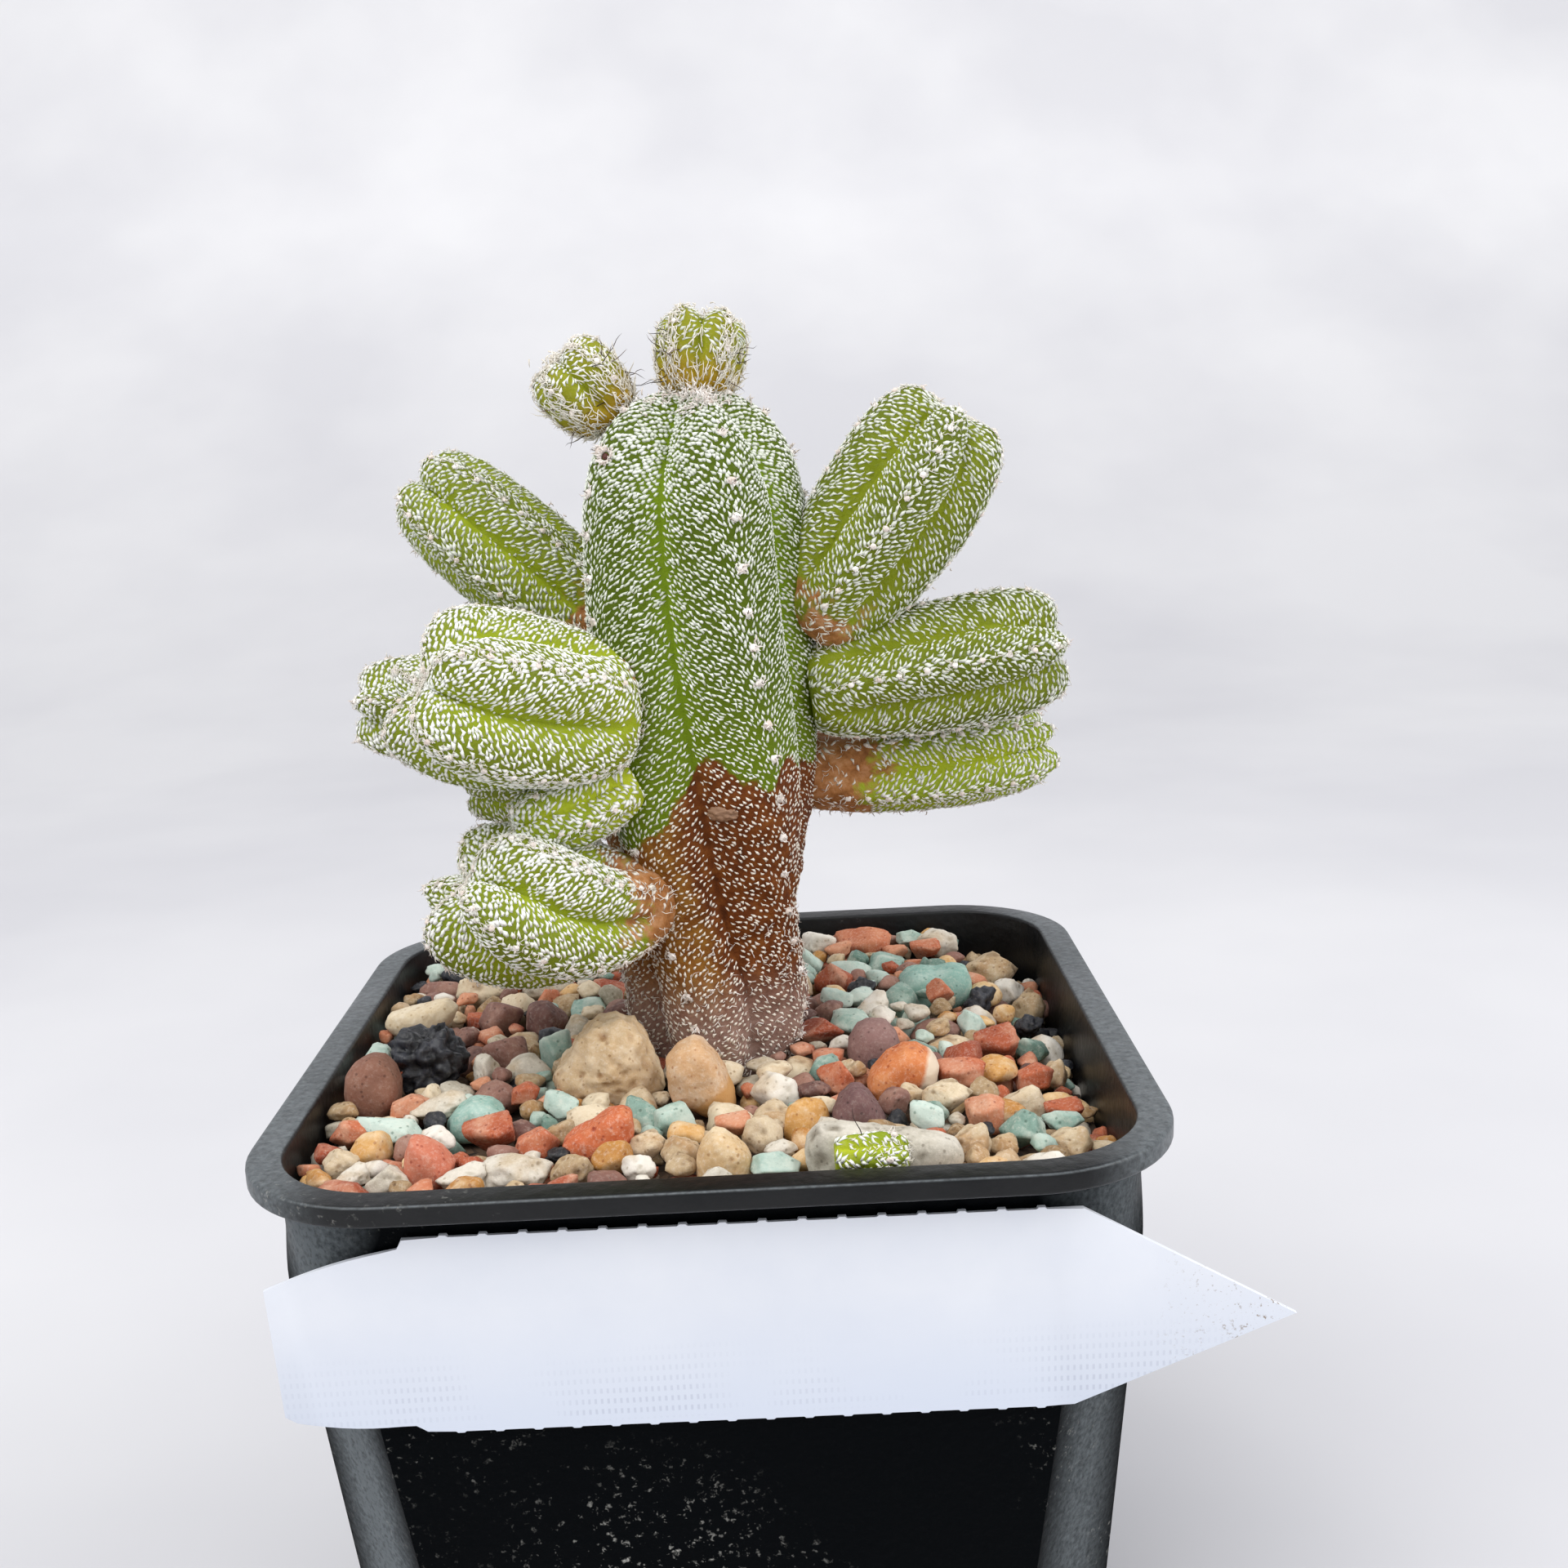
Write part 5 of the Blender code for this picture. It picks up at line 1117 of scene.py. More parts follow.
def pupGrid(pup):
    step, half = pupForm["smallGrid" if pup["radius"] < pupForm["smallBelow"] else "grid"]
    wide, radius, neck = pup["wide"], pup["radius"], pup["neck"]
    base, tip, bend = (np.array(pup.get(key, (0, 0, 0)), float) for key in ("base", "tip", "bend"))
    length = np.linalg.norm(tip - base)
    a = np.linspace(0, math.pi / 2, 240)
    low = np.stack([wide * (1 - np.cos(a)), neck + (radius - neck) * np.sin(a) ** pup["taper"]], -1)
    high = np.stack([wide + (1 - wide) * np.sin(a), radius * np.maximum(np.cos(a), 1e-9) ** 0.52], -1)[1:]
    curve = evenCurve(np.concatenate([low, high]) * np.array((length, 1.0)), step)
    share = curve[:, 0] / length
    reach = np.maximum(curve[:, 1], 0.25)
    middle = (base + tip) / 2 + 2 * bend
    t = share[:, None]
    ahead = unit(2 * (1 - t) * (middle - base) + 2 * t * (tip - middle))
    side = unit(np.cross(ahead, (0, 0, 1)))
    up = np.cross(side, ahead)
    depth = grooveDepth(pupForm["grooves"], share)
    columns = []
    for j in range(10 * half):
        across = 1 - abs(1 - (j % (2 * half)) / half)
        angle = np.radians(pup["turn"] + pup.get("twist", 0) * share + 36 * j / half)
        out = ribReach(across, reach, depth)[:, None]
        # the ribs end in lobes round a sunken middle
        sunk = pup.get("lobe", 0.09) * smoothstep(0.5, 1, share) * (1 - reach / radius * (1 - across**1.5))
        t = (share - sunk)[:, None]
        axis = (1 - t) ** 2 * base + 2 * t * (1 - t) * middle + t**2 * tip
        columns.append(axis + side * out * np.sin(angle)[:, None] + up * out * np.cos(angle)[:, None])
    return np.stack(columns, 1)


def shareAcross(grid, half):
    # 0 on the crests and 1 in the grooves
    j = np.arange(grid.shape[1])
    return np.broadcast_to(1 - np.abs(1 - (j % (2 * half)) / half), grid.shape[:2])


def lengthAlong(grid):
    # distance of each row from the first, along the body
    steps = np.linalg.norm(np.diff(grid, axis=0), axis=2).mean(1)
    return np.concatenate([[0], np.cumsum(steps)])


def wander(points, size, seed):
    # smooth values from about -1 to 1, one for each point
    shift = Vector((seed * 3.1, seed * 1.7, seed * 5.3))
    return np.array([noise.noise(Vector(p) / size + shift) for p in points])


def flecksOn(grid, half, facing, look, chance):
    # places of the wool flecks: wavy rows that fall from each groove to the crests beside it
    rows, columns = grid.shape[:2]
    far = lengthAlong(grid)
    lean = math.radians(look["slant"])
    found = []
    for strip in range(columns // half):
        groove = half + 2 * half * (strip // 2)
        way = 1 if strip % 2 else -1
        patch = grid[:, (groove + way * np.arange(half + 1)) % columns]
        widths = np.linalg.norm(np.diff(patch, axis=1), axis=2)
        across = np.concatenate([np.zeros((rows, 1)), np.cumsum(widths, axis=1)], 1)
        widest = across[:, -1].max()
        start, row = 0.0, 0
        a, b, gaps = [], [], []
        while start < far[-1] + widest * math.tan(lean):
            gap = float(np.interp(start / far[-1], *look["gap"]))
            step = gap * look["stretch"] * math.cos(lean)
            places = np.arange(0.5 * (row % 2), widest / step) * step
            places = places + chance.normal(0, 0.16 * gap, len(places))
            a.append(places)
            b.append(start - math.tan(lean) * places + chance.normal(0, 0.09 * gap, len(places)))
            gaps.append(np.full(len(places), gap))
            start += gap / math.cos(lean)
            row += 1
        a, b, gaps = np.concatenate(a), np.concatenate(b), np.concatenate(gaps)
        # the rows swing in waves of about 6 mm that come and go, and in small ones
        swing = chance.uniform(0, 6.28, 3)
        large = 0.30 * np.sin(b / 0.9 + a / 0.55 + swing[0]) * np.sin(b / 2.7 + swing[1])
        b = b + large + 0.12 * np.sin(b / 0.41 - a / 0.8 + swing[2])
        inside = (a >= 0) & (b > 0.3) & (b < far[-1] - 0.05)
        a, b, gaps = a[inside], b[inside], gaps[inside]
        place = np.interp(b, far, np.arange(rows))
        i = np.minimum(place.astype(int), rows - 2)
        f = (place - i)[:, None]
        local = across[i] * (1 - f) + across[i + 1] * f
        inside = a < local[:, -1] - 0.12 * gaps
        a, b, gaps, i, f, local = (v[inside] for v in (a, b, gaps, i, f, local))
        j = np.clip((local <= a[:, None]).sum(1) - 1, 0, half - 1)
        n = np.arange(len(a))
        g = ((a - local[n, j]) / np.maximum(local[n, j + 1] - local[n, j], 1e-6))[:, None]
        p00, p01, p10, p11 = patch[i, j], patch[i, j + 1], patch[i + 1, j], patch[i + 1, j + 1]
        toCrest = unit((p01 - p00) * (1 - f) + (p11 - p10) * f)
        ahead = unit((p10 - p00) * (1 - g) + (p11 - p01) * g)
        found.append({
            "point": (p00 * (1 - g) + p01 * g) * (1 - f) + (p10 * (1 - g) + p11 * g) * f,
            "toCrest": toCrest, "ahead": ahead, "normal": unit(np.cross(toCrest, ahead)) * (way * facing),
            "fromGroove": a, "across": a / local[:, -1], "along": b / far[-1], "gap": gaps,
        })
    return {key: np.concatenate([part[key] for part in found]) for key in found[0]}


def chosen(spots, mask):
    return {key: value[mask] for key, value in spots.items()}


def fleckChunk(spots, look, long, wide, cork, chance, material):
    # each fleck of felted hairs is a small closed pad that lies along its row: a drop with five
    # corners, a flat underside and a raised middle; long and wide are in mm
    point, normal = spots["point"], spots["normal"]
    count = len(point)
    stray = chance.normal(0, look["stray"], count) + 24 * wander(point, 1.5, float(chance.uniform(0, 9)))
    stray = stray + 42 * smoothstep(0.62, 1.0, spots["across"])  # near a crest they turn to run along it
    angle = np.radians(look["slant"] + stray)[:, None]
    along = unit(spots["toCrest"] * np.cos(angle) - spots["ahead"] * np.sin(angle))
    along = unit(along - normal * np.einsum("ij,ij->i", along, normal)[:, None])
    beside = np.cross(normal, along)
    long = long[:, None] * chance.uniform(0.72, 1.22, (count, 1)) / 2
    wide = wide[:, None] * chance.uniform(0.8, 1.2, (count, 1)) / 2
    high = np.minimum(wide * 0.9, 0.17) * chance.uniform(0.8, 1.2, (count, 1))
    point = point - normal * 0.01
    bend = beside * chance.normal(0, 0.14, (count, 1)) * long
    head = along * long * chance.uniform(0.7, 0.95, (count, 1))
    belly = along * long * chance.uniform(-0.25, 0.15, (count, 1))
    corners = np.stack([
        point - along * long - bend, point + belly - beside * wide + bend,
        point + head - beside * wide * 0.62 - bend, point + head + beside * wide * 0.62 - bend,
        point + belly + beside * wide + bend, point + normal * high + belly * 0.5,
    ], 1)
    each = corners.shape[1]
    first = each * np.arange(count)[:, None, None]
    top = (np.array([(k, (k + 1) % 5, 5) for k in range(5)])[None] + first).reshape(-1, 3)
    under = (np.array([(0, 4, 3, 2, 1)])[None] + first).reshape(-1, 5)
    tone = np.repeat(chance.uniform(0, 1, count), each)
    return chunk(corners.reshape(-1, 3), [top, under], material, tone=tone, cork=np.repeat(cork, each))


def hairChunk(roots, aims, lengths, look, chance, material):
    # three-sided hairs that narrow to a point, each with its own bend
    count, segments = len(roots), look["segments"]
    aims = unit(aims)
    first = unit(np.cross(aims, chance.normal(size=(count, 3))))
    second = np.cross(aims, first)
    phase, turns = chance.uniform(0, 6.28, (count, 1)), chance.uniform(0.6, 1.5, (count, 1))
    rings = []
    for k in range(segments + 1):
        t = k / segments
        swing = look["curl"] * lengths[:, None] * t
        middle = (roots + aims * lengths[:, None] * t + first * swing * np.sin(phase + 6.28 * turns * t)
                  + second * swing * np.cos(phase + 5.1 * turns * t))
        if k == segments:
            rings.append(middle[:, None])
            break
        r = look["thick"] * (1 - 0.6 * t)
        rings.append(np.stack([middle + r * (first * math.cos(q) + second * math.sin(q))
                               for q in (0, 2.0944, 4.1888)], 1))
    points = np.concatenate(rings, 1)
    each = points.shape[1]
    shape = [(0, 2, 1)]
    for k in range(segments - 1):
        for q in range(3):
            a, b = 3 * k + q, 3 * k + (q + 1) % 3
            shape += [(a, b, b + 3), (a, b + 3, a + 3)]
    last = 3 * (segments - 1)
    shape += [(last + q, last + (q + 1) % 3, each - 1) for q in range(3)]
    faces = (np.array(shape)[None] + each * np.arange(count)[:, None, None]).reshape(-1, 3)
    points = points.reshape(-1, 3)
    points[:, 2] = np.minimum(points[:, 2], cadBox[1][2] / mm - 0.05)  # no hair stands above the CAD
    tone = np.repeat(chance.uniform(0, 1, count), each)
    return chunk(points, [faces], material, tone=tone)


def lyingHairs(grid, normals, i, j, look, chance, material):
    # hairs that lie along the surface, each its own way
    lengths = chance.uniform(*look["long"], len(i)) * look.get("scale", 1.0)
    lean = normals[i, j]
    aims = chance.normal(size=(len(i), 3))
    aims = unit(aims - lean * np.einsum("ij,ij->i", aims, lean)[:, None]) + lean * look["lift"]
    return hairChunk(grid[i, j] + lean * look["thick"], aims, lengths, look, chance, material)


def tuftChunk(centres, outward, look, chance, material):
    # a round tuft of curly hairs at each centre
    size = look["size"]
    centres, outward = (np.repeat(values, look["count"], axis=0) for values in (centres, outward))
    roots = centres + chance.normal(0, look.get("spread", 0.28) * size, centres.shape) - outward * 0.1
    aims = outward * 0.7 + chance.normal(0, 0.7, centres.shape)
    lengths = size * chance.uniform(0.45, 1.0, len(roots))
    return hairChunk(roots, aims, lengths, dict(look, curl=0.22, segments=2), chance, material)


def lumpChunk(centre, outward, size, seed, material, level=4):
    # a small rough lump that lies on the surface: length, width and height in mm
    directions, faces = spheres[level]
    across = unit(np.cross(outward, (0.0, 0.0, 1.0)))
    frameOf = np.stack([across, np.cross(outward, across), outward])
    points = directions * (1 + 0.35 * bumps(directions * 1.6, 0.7, seed))[:, None] * np.array(size) / 2
    return chunk(points @ frameOf + centre, [faces], material, tone=0.618 * seed % 1)


def outwardAt(grid, facing):
    # a unit normal at each grid point
    around = np.roll(grid, -1, 1) - np.roll(grid, 1, 1)
    along = np.gradient(grid, axis=0)
    return unit(np.cross(around, along)) * facing


def crestSpots(grid, half, look, end, chance):
    # rows and columns of the areoles along the crests
    far, every = lengthAlong(grid), look["every"]
    rows, columns = [], []
    for k in range(5):
        place = look["start"] + every * chance.uniform(0.2, 0.8)
        while place < end:
            rows.append(int(np.argmin(np.abs(far - place))))
            columns.append(2 * half * k)
            place += every * chance.uniform(0.88, 1.12)
    return np.array(rows), np.array(columns)


def areoleChunks(grid, normals, spots, look, tuft, chance, material):
    # a pad and a tuft of wool at each areole
    i, j = spots
    pads = [lumpChunk(grid[a, b], normals[a, b], look["pad"], a + 0.3 * b, material, 2) for a, b in zip(i, j)]
    return [tuftChunk(grid[i, j], normals[i, j], tuft, chance, material)] + pads


def woolMaterial(name, pale, dark):
    # felted plant hair: matt and bright, with light caught in the loose fibres; creamier over cork
    made, add = newMaterial(name)
    tone = add("Attribute", attribute_name="tone")
    cork = add("Attribute", attribute_name="cork")
    base = add("ValToRGB", {"Fac": tone}, stops=[(0.0, dark), (1.0, pale)])
    old = add("MapRange", [cork, -0.5, 1.0, 0.0, 0.75])
    base = add("Mix", {0: old, 6: base, 7: "#efe3d4"})
    finishMaterial(add, Base_Color=base, Roughness=0.95, Sheen_Weight=0.3, Sheen_Roughness=0.5)
    return made


def skinMaterial(name, shades, browns, ragged, blur):
    # living epidermis: waxy, finely pimpled, paler where a bloom of tiny hairs covers it, and dry
    # brown cork where it has aged; ragged and blur are how uneven and how soft the cork's edge is
    made, add = newMaterial(name)
    crest, grooveShade, low, bloom = shades
    place = add("TexCoord")
    groove, cork, foot, young, amber = (add("Attribute", attribute_name=key)
                                        for key in ("groove", "cork", "foot", "young", "amber"))
    mottle = add("TexNoise", {"Vector": place, "Scale": perMm(3.5), "Detail": 5.0, "Roughness": 0.6})
    fine = add("TexNoise", {"Vector": place, "Scale": perMm(0.45), "Detail": 4.0, "Roughness": 0.7})
    share = add("Math", [mottle, 0.5, groove], operation="MULTIPLY_ADD")
    green = add("ValToRGB", {"Fac": share}, stops=[(0.25, crest), (1.25, grooveShade)])
    green = add("Mix", {0: young, 6: green, 7: low})
    haze = add("MapRange", [fine, 0.52, 0.70, 0.0, 0.28])
    green = add("Mix", {0: haze, 6: green, 7: bloom})
    edge = add("MapRange", [mottle, 0.25, 0.75, -ragged, ragged])
    edge = add("Math", [cork, edge], operation="ADD")
    corked = add("MapRange", [edge, -blur, blur])
    bark = add("TexNoise", {"Vector": place, "Scale": perMm(1.6), "Detail": 5.0, "Roughness": 0.65})
    patch = add("TexNoise", {"Vector": place, "Scale": perMm(6), "Detail": 3.0})
    patch = add("Math", [patch, amber], operation="ADD")
    patch = add("MapRange", [patch, 0.75, 1.15])
    brown = add("ValToRGB", {"Fac": bark}, stops=[(0.25, browns[0]), (0.5, browns[1]), (0.8, browns[2])])
    golden = add("ValToRGB", {"Fac": bark}, stops=[(0.25, browns[1]), (0.75, browns[3])])
    brown = add("Mix", {0: patch, 6: brown, 7: golden})
    mauve = add("ValToRGB", {"Fac": bark}, stops=[(0.25, "#7c5c52"), (0.75, "#b3988c")])
    brown = add("Mix", {0: foot, 6: brown, 7: mauve})
    base = add("Mix", {0: corked, 6: green, 7: brown})
    bump = add("Bump", {"Height": fine, "Distance": 0.0002, "Strength": 0.7})
    bump = add("Bump", {"Height": bark, "Distance": 0.0004, "Strength": 0.35, "Normal": bump})
    finishMaterial(add, Base_Color=base, Roughness=0.6, IOR=1.45, Specular_IOR_Level=0.15, Normal=bump)
    return made


def hornMaterial(name, dark, pale):
    # dry horn-like spine or scar: brown, with a faint gloss and lengthwise unevenness
    made, add = newMaterial(name)
    place = add("TexCoord")
    tone = add("Attribute", attribute_name="tone")
    grain = add("TexNoise", {"Vector": place, "Scale": perMm(0.6), "Detail": 4.0, "Roughness": 0.7})
    share = add("Math", [tone, grain], operation="MULTIPLY")
    base = add("ValToRGB", {"Fac": share}, stops=[(0.1, dark), (0.5, pale)])
    bump = add("Bump", {"Height": grain, "Distance": 0.0001, "Strength": 0.6})
    finishMaterial(add, Base_Color=base, Roughness=0.55, Normal=bump)
    return made


wool = woolMaterial("felted white trichomes", "#f0f3ea", "#cfd4c2")
pupWool = woolMaterial("felted cream trichomes", "#fefefa", "#eceee4")
# a greyer copy of the cream wool: painted shade for the pups that sit in shade
shadedWool = woolMaterial("felted trichomes in painted shade", "#edefe6", "#d0d4c4")
areoleWool = woolMaterial("areole wool", "#fffdfb", "#d8c8be")
ballWool = woolMaterial("young curly wool", "#fdfbf4", "#ebe4d2")
spineHorn = hornMaterial("dry brown spine", "#2a1d18", "#65493a")
scarCork = hornMaterial("dry beige scar cork", "#8d6a50", "#dcc0a4")
# red-brown for the wound in the stem's hole, partly the wound's own colour and partly painted shade of the hole
woundAndHoleShade = hornMaterial("red-brown wound and painted hole shade", "#4a1c12", "#9c4a30")
chestnut = ("#45210c", "#683512", "#87501f", "#946828")
neckBrown = ("#70421f", "#ab7444", "#d2a47c", "#bd874c")
# colours of the crests, the grooves, the young skin near the foot, and the bloom
stemSkin, pupSkin, shadedPupSkin, brightenedPupSkin, ballSkin = (
    skinMaterial(name + " epidermis", shades, *cork) for name, shades, cork in (
        ("stem", ("#4b5c0b", "#6c8412", "#64780b", "#6f7e38"), (chestnut, 1.2, 0.3)),
        ("pup", ("#6f7b1c", "#94a21f", "#98a522", "#a4ab70"), (neckBrown, 5.0, 1.2)),
        # a darker copy of the pup skin: painted shade for the right pups
        ("shaded pup", ("#5e6a15", "#848f1b", "#86921c", "#969d68"), (neckBrown, 5.0, 1.2)),
        # a paler, yellower copy of the pup skin: painted light for the lower right pup, which lies in shadow;
        # the small and loose pups use it too
        ("yellowish brightened pup", ("#859622", "#abb828", "#b2b926", "#b9bd80"), (neckBrown, 5.0, 1.2)),
        ("young pup", ("#85861f", "#8f971c", "#b48420", "#b3a878"), (neckBrown, 4.0, 1.0))))

bodies = {"stem": stemGrid()}
for pupName, pupShape in pups.items():
    bodies[pupName] = pupGrid(pupShape)
skins = {}
for bodyName, bodyGrid in bodies.items():
    bodyFaces, bodyFacing = skinOver(bodyGrid)
    flat = [Vector(p) for p in bodyGrid.reshape(-1, 3)]
    polygons = [tuple(int(v) for v in face) for face in bodyFaces[0]]
    skins[bodyName] = (bodyFaces, bodyFacing, BVHTree.FromPolygons(flat, polygons))
print("plant bodies laid out:", len(bodies))


def hiddenIn(points, own):
    # whether each point lies inside one of the other bodies
    hidden = np.zeros(len(points), bool)
    for other, (_, _, tree) in skins.items():
        if other == own:
            continue
        grid = bodies[other].reshape(-1, 3)
        low, high = grid.min(0) - 0.5, grid.max(0) + 0.5
        near = np.argwhere(((points > low) & (points < high)).all(1) & ~hidden)[:, 0]
        for n in near:
            spot, facing, _, _ = tree.find_nearest(Vector(points[n]))
            if spot is not None and (Vector(points[n]) - spot).dot(facing) < -0.05:
                hidden[n] = True
    return hidden


def corkOnStem(points):
    # height of the cork's upper edge less the point's own height, in mm
    angle = np.degrees(np.arctan2(points[..., 0] - stem["axis"][0], stem["axis"][1] - points[..., 1]))
    return throughStops(stem["cork"], angle) - points[..., 2]


def roughened(grid, normals, size, amount):
    # the grid with a low relief, amount mm high at most
    points = grid.reshape(-1, 3)
    relief = np.array([noise.fractal(Vector(p) / size, 0.7, 2.0, 3) for p in points])
    return grid + normals * (relief.reshape(grid.shape[:2]) * amount)[..., None]


def onSkin(name, place):
    # the nearest point of a body's skin, and the way out there
    spot, facing, _, _ = skins[name][2].find_nearest(Vector(place))
    return np.array(spot), np.array(facing)


def wooliness(share, spots):
    # a length or width in gaps: the plain one and what each trait of the flecks adds to it
    return spots["gap"] * (share["plain"] + sum(share[key] * spots[key] for key in share if key != "plain"))


def buildStem():
    chance = np.random.default_rng(stem["seed"])
    half = stem["half"]
    faces, facing, _ = skins["stem"]
    normals = outwardAt(bodies["stem"], facing)
    cork = corkOnStem(bodies["stem"])
    size, low, gain = stem["relief"]
    grid = roughened(bodies["stem"], normals, size, low + gain * np.clip(cork / 3, 0, 1))
    bodies["stem"] = grid
    foot = 1 - smoothstep(*stem["foot"], grid[..., 2])
    young = 0.8 * (1 - smoothstep(*stem["young"], grid[..., 2]))
    groove = shareAcross(grid, half) ** 5
    # the cork is amber on the flank left of the front groove, and dark in the groove and right of it
    j = np.arange(grid.shape[1])
    amber = np.where(j < half, smoothstep(0, 0.75, 1 - j / half), np.where(j > 8 * half, 1.0, 0.15))
    amber = np.broadcast_to(amber, groove.shape)
    chunks = [chunk(grid.reshape(-1, 3), faces, 0, groove=groove.ravel(), cork=cork.ravel(),
                    foot=foot.ravel(), young=young.ravel(), amber=amber.ravel())]
    i, j = crestSpots(grid, half, stem["areoles"], lengthAlong(grid)[-1] - 3, chance)
    chunks += areoleChunks(grid, normals, (i, j), stem["areoles"], tufts["stemAreole"], chance, 1)
    # the stubs of spines stand a little out of the wool
    chunks.append(tuftChunk(grid[i, j] + 0.45 * normals[i, j], normals[i, j], tufts["stemSpines"], chance, 2))
    low, high = stem["hairyFrom"]
    low = np.argwhere((grid[:, 0, 2] > low) & (grid[:, 0, 2] < high))[:, 0]
    count = hairs["foot"]["count"]
    i, j = chance.choice(low, count), chance.integers(0, grid.shape[1], count)
    chunks.append(lyingHairs(grid, normals, i, j, hairs["foot"], chance, 1))
    around = [chance.normal(0, spread, stem["apexTufts"]) for spread in stem["apexSpread"]]
    around = np.array(stem["apexWool"]) + np.stack(around, -1)
    spots, outs = zip(*(onSkin("stem", place) for place in around))
    chunks.append(tuftChunk(np.array(spots), np.array(outs), tufts["apex"], chance, 1))
    hole, out = onSkin("stem", stem["hole"])
    # a dark red-brown lump in the hole: partly the wound's own colour, partly painted shade inside the hole
    chunks.append(lumpChunk(hole, out, stem["holeSize"], 2.0, 3))
    turn = np.linspace(0, 6.28, hairs["holeRim"]["count"])
    across = unit(np.cross(out, (0.0, 0.0, 1.0)))
    ring = np.cos(turn)[:, None] * across + np.sin(turn)[:, None] * np.cross(out, across)
    aims = ring * 0.8 + out * 0.6 + chance.normal(0, 0.3, ring.shape)
    lengths = chance.uniform(*hairs["holeRim"]["long"], len(ring))
    chunks.append(hairChunk(hole + ring * stem["holeRim"], aims, lengths, hairs["holeRim"], chance, 1))
    scar, out = onSkin("stem", stem["scar"])
    chunks.append(lumpChunk(scar + 0.1 * out, out, stem["scarSize"], 5.0, 4))
    surfaces = [stemSkin, areoleWool, spineHorn, woundAndHoleShade, scarCork]
    makePiece("stem_body", chunks, surfaces, ["main_stem"])
    spots = flecksOn(grid, half, facing, stemWool, chance)
    height = spots["point"][:, 2]
    bare = stemWool["bareGroove"] * (1 - smoothstep(*stemWool["bareBelow"], height))
    spots = chosen(spots, (spots["fromGroove"] > bare) & (height > stemWool["from"]))
    clear = np.linalg.norm(spots["point"] - hole, axis=1) > stem["holeClear"]
    clear &= np.linalg.norm((spots["point"] - scar) * (0.7, 0.7, 1.1), axis=1) > 1.0
    spots = chosen(spots, clear & ~hiddenIn(spots["point"], "stem"))
    height = spots["point"][:, 2]
    spots["aged"] = smoothstep(-1.0, 1.5, corkOnStem(spots["point"]))
    spots["dense"] = smoothstep(*stemWool["denseFrom"], height)
    spots["crest"] = smoothstep(0.82, 1.0, spots["across"])
    spots["crown"] = smoothstep(*stemWool["crownFrom"], height)
    long, wide = (wooliness(stemWool[key], spots) for key in ("long", "wide"))
    print("stem flecks:", len(long))
    flecks = fleckChunk(spots, stemWool, long, wide, 2 * spots["aged"] - 1, chance, 0)
    makePiece("stem_wool", [flecks], [wool])


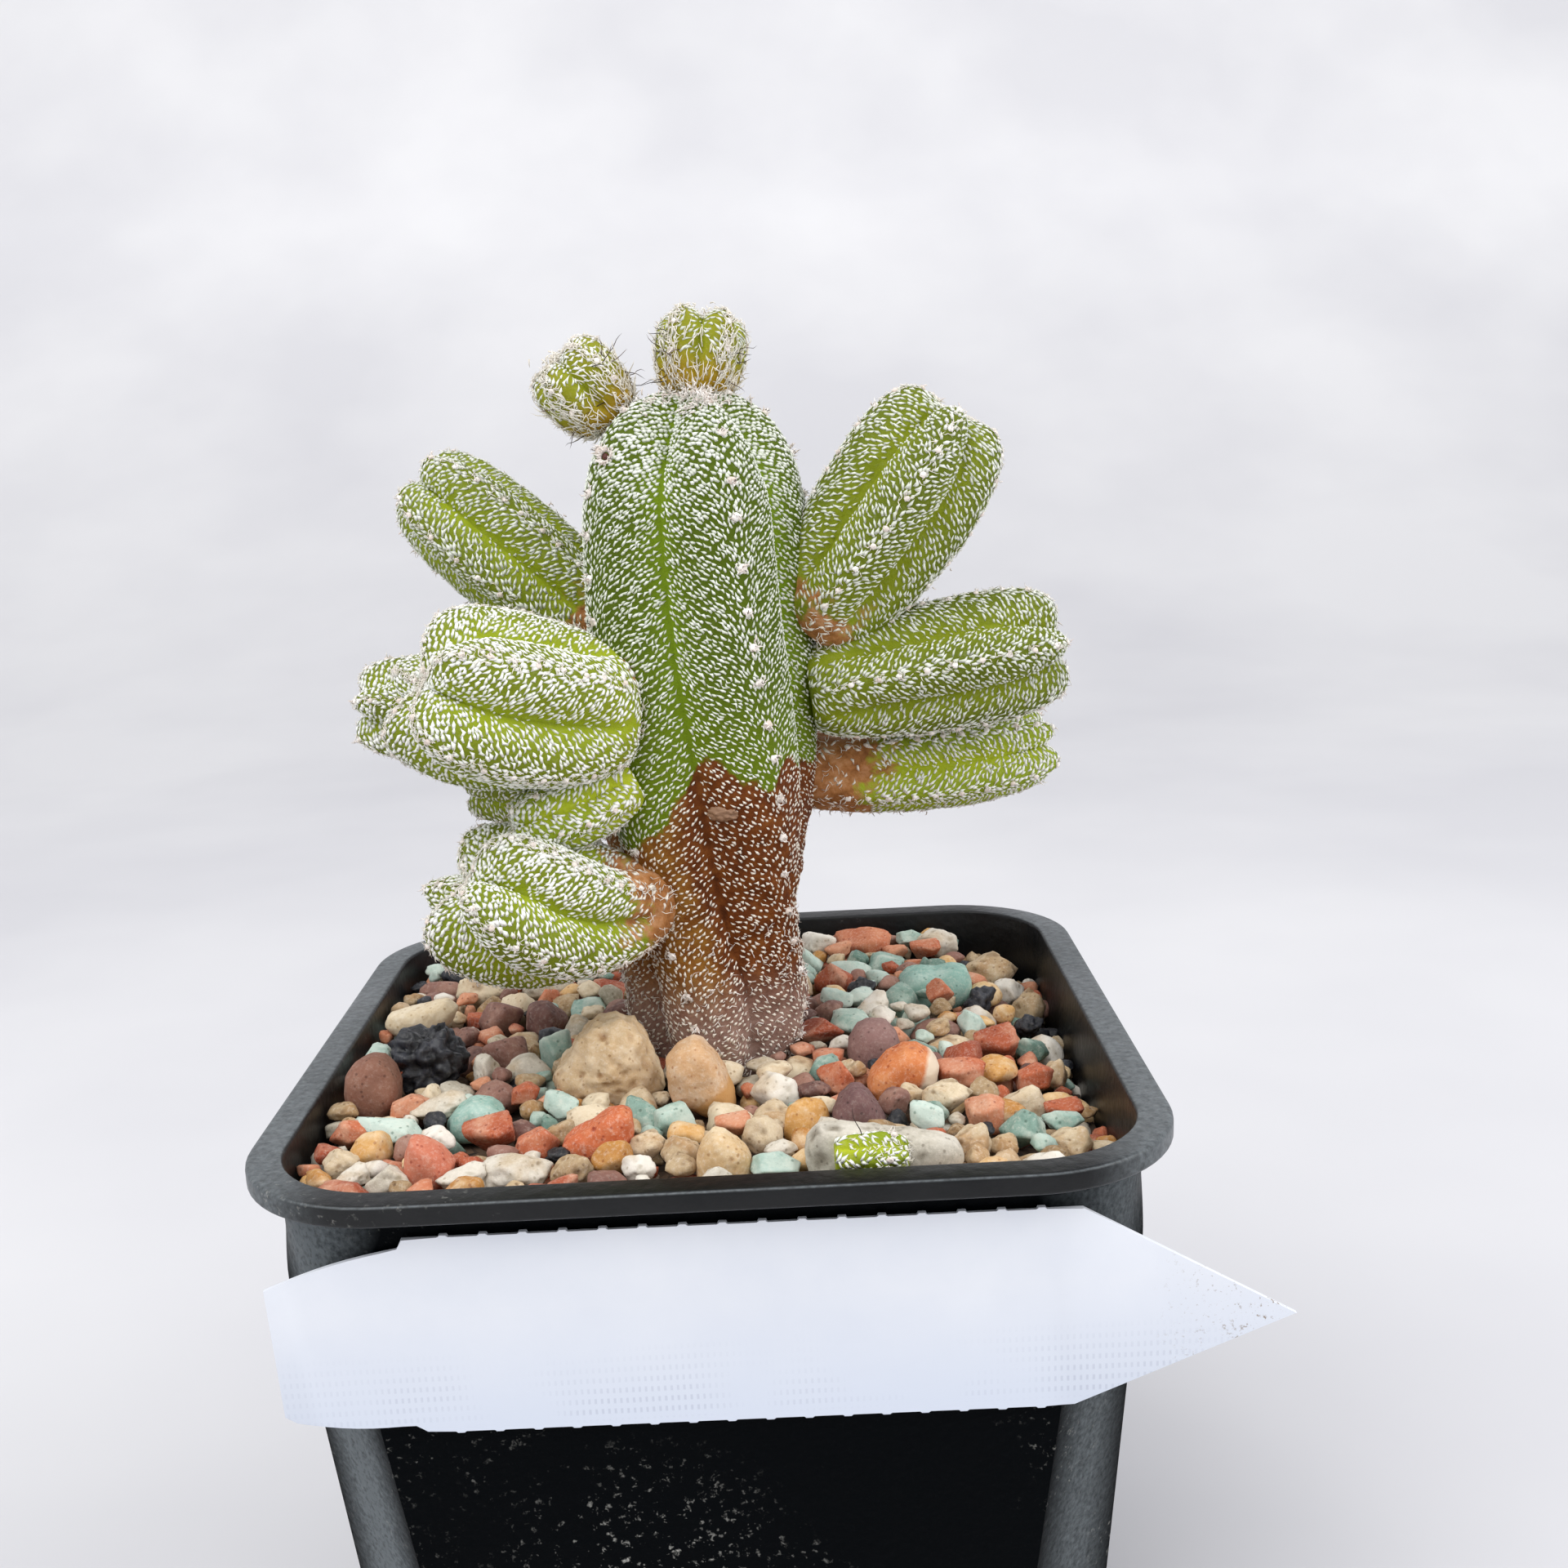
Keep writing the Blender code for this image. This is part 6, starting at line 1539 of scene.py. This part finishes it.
def buildPup(name, seed):
    chance = np.random.default_rng(seed)
    pup = pups[name]
    faces, facing, _ = skins[name]
    normals = outwardAt(bodies[name], facing)
    rows, columns = bodies[name].shape[:2]
    half = columns // 10
    far = lengthAlong(bodies[name])
    fade = smoothstep(0, 0.3, far / far[-1])[:, None]
    grid = roughened(bodies[name], normals, pupForm["relief"][0], pupForm["relief"][1] * fade)
    bodies[name] = grid
    woolly, loose = pup.get("woolly", False), name == "loose"
    cork = (pup["brown"] - far if pup["brown"] else np.full(rows, -9.0))[:, None] * np.ones(columns)
    groove = shareAcross(grid, half) ** 2.5
    young = (0.75 if woolly else 0.4) * (1 - smoothstep(0.1, 0.5, far / far[-1]))
    young = np.broadcast_to(young[:, None], groove.shape)
    chunks = [chunk(grid.reshape(-1, 3), faces, 0, groove=groove.ravel(), cork=cork.ravel(),
                    young=young.ravel())]
    spots = flecksOn(grid, half, facing, pupWoolLook, chance)
    spots = chosen(spots, ~hiddenIn(spots["point"], name))
    end = smoothstep(0.62, 0.92, spots["along"])
    spots["opened"] = smoothstep(0.0, 0.26, spots["across"]) * (1 - end) + end
    spots["thick"] = np.minimum(smoothstep(0.6, 1.0, spots["across"]) + 0.8 * end, 1.2)
    kept = (0.42 + 0.58 * spots["opened"]) * (smoothstep(0.2, 0.65, spots["along"]) if woolly else 1.0)
    kept = kept * (1 - 0.8 * smoothstep(-0.5, 1.5, pup["brown"] - spots["along"] * far[-1]))
    spots = chosen(spots, chance.uniform(0, 1, len(end)) < kept)
    felt = pup.get("felt", 1.0)
    long = wooliness(pupWoolLook["long"], spots)
    wide = wooliness(pupWoolLook["wide"], spots) * felt
    aged = 2 * smoothstep(-1.5, 1.5, pup["brown"] - spots["along"] * far[-1]) - 1
    chunks.append(fleckChunk(spots, pupWoolLook, long, wide, aged, chance, 1))
    i, j = crestSpots(grid, half, pupForm["areoles"], far[-1] - 1.0, chance)
    chunks += areoleChunks(grid, normals, (i, j), pupForm["areoles"], tufts["pupAreole"], chance, 2)
    if woolly:  # the notch between the rib ends is full of wool
        tip, ahead = grid[-1].mean(0), unit(grid[-1].mean(0) - grid[-6].mean(0))
        chunks.append(tuftChunk(tip[None] - 0.3 * ahead, ahead[None], tufts["notch"], chance, 3))
    look = hairs["ballFelt" if woolly else "felt"]
    count = int(look["count"] * (pup["radius"] / 5) ** 2 * (3 if loose else 1) * felt**3)
    i = rows - 1 - (chance.uniform(0, 1, count) ** 1.4 * (rows - 3)).astype(int)
    j = chance.integers(0, columns, count)
    if not loose:  # loose wool on and beside the crests and at the tip
        nearest = (np.round(j / (2 * half)) * 2 * half).astype(int)
        j = (nearest + chance.integers(-1, 2, count)) % columns
    chunks.append(lyingHairs(grid, normals, i, j, look, chance, 3))
    if woolly:  # long wool that lies along the lower half, from the base upwards
        look, count = hairs["ballWool"], hairs["ballWool"]["count"]
        i, j = chance.integers(1, int(rows * 0.5), count), chance.integers(0, columns, count)
        aims = unit(grid[i + 2, j] - grid[i, j]) + chance.normal(0, 0.32, (count, 3)) + 0.12 * normals[i, j]
        lengths = chance.uniform(*look["long"], count)
        chunks.append(hairChunk(grid[i, j] + 0.1 * normals[i, j], aims, lengths, look, chance, 3))
    if woolly or loose:
        look = hairs["spines"]
        picked = np.argwhere((far > 0.15 * far[-1]) & (far < 0.55 * far[-1]))[:, 0]
        count = look["count"] if woolly else 4
        i, j = chance.choice(picked, count), chance.integers(0, columns, count)
        aims = normals[i, j] + chance.normal(0, 0.4, (count, 3))
        chunks.append(hairChunk(grid[i, j], aims, chance.uniform(*look["long"], count), look, chance, 4))
    if woolly:
        count = hairs["ballFoot"]["count"]
        i, j = chance.integers(0, rows // 3, count), chance.integers(0, columns, count)
        chunks.append(lyingHairs(grid, normals, i, j, hairs["ballFoot"], chance, 3))
    if pup["brown"]:  # scruffy wool round the neck
        low, count = np.argwhere(far < pup["brown"] * 0.8)[:, 0], hairs["neck"]["count"]
        i, j = chance.choice(low, count), chance.integers(0, columns, count)
        chunks.append(lyingHairs(grid, normals, i, j, hairs["neck"], chance, 3))
    surfaces = [pupSkins.get(name, pupSkin), shadedWool if name in shadedWoolPups else pupWool, areoleWool, ballWool,
                spineHorn]
    makePiece("pup_" + name, chunks, surfaces, ["offset_" + name])
    return sum(len(group) for part in chunks for group in part["faces"])


# pups whose skin is not the usual one, among them a darker copy as painted shade and a paler copy as painted
# light, and those whose wool is a greyer copy as painted shade
pupSkins = {"crown_left": ballSkin, "crown_right": ballSkin, "upper_right": shadedPupSkin,
            "mid_right": shadedPupSkin, "lower_right": brightenedPupSkin, "small_left": brightenedPupSkin, "loose": brightenedPupSkin}
shadedWoolPups = ("upper_left", "upper_right", "mid_right", "crown_right")

buildStem()
print("stem built")
for pupSeed, pupName in enumerate(pups):
    print("pup", pupName, "faces:", buildPup(pupName, pupForm["seed"] + pupSeed))
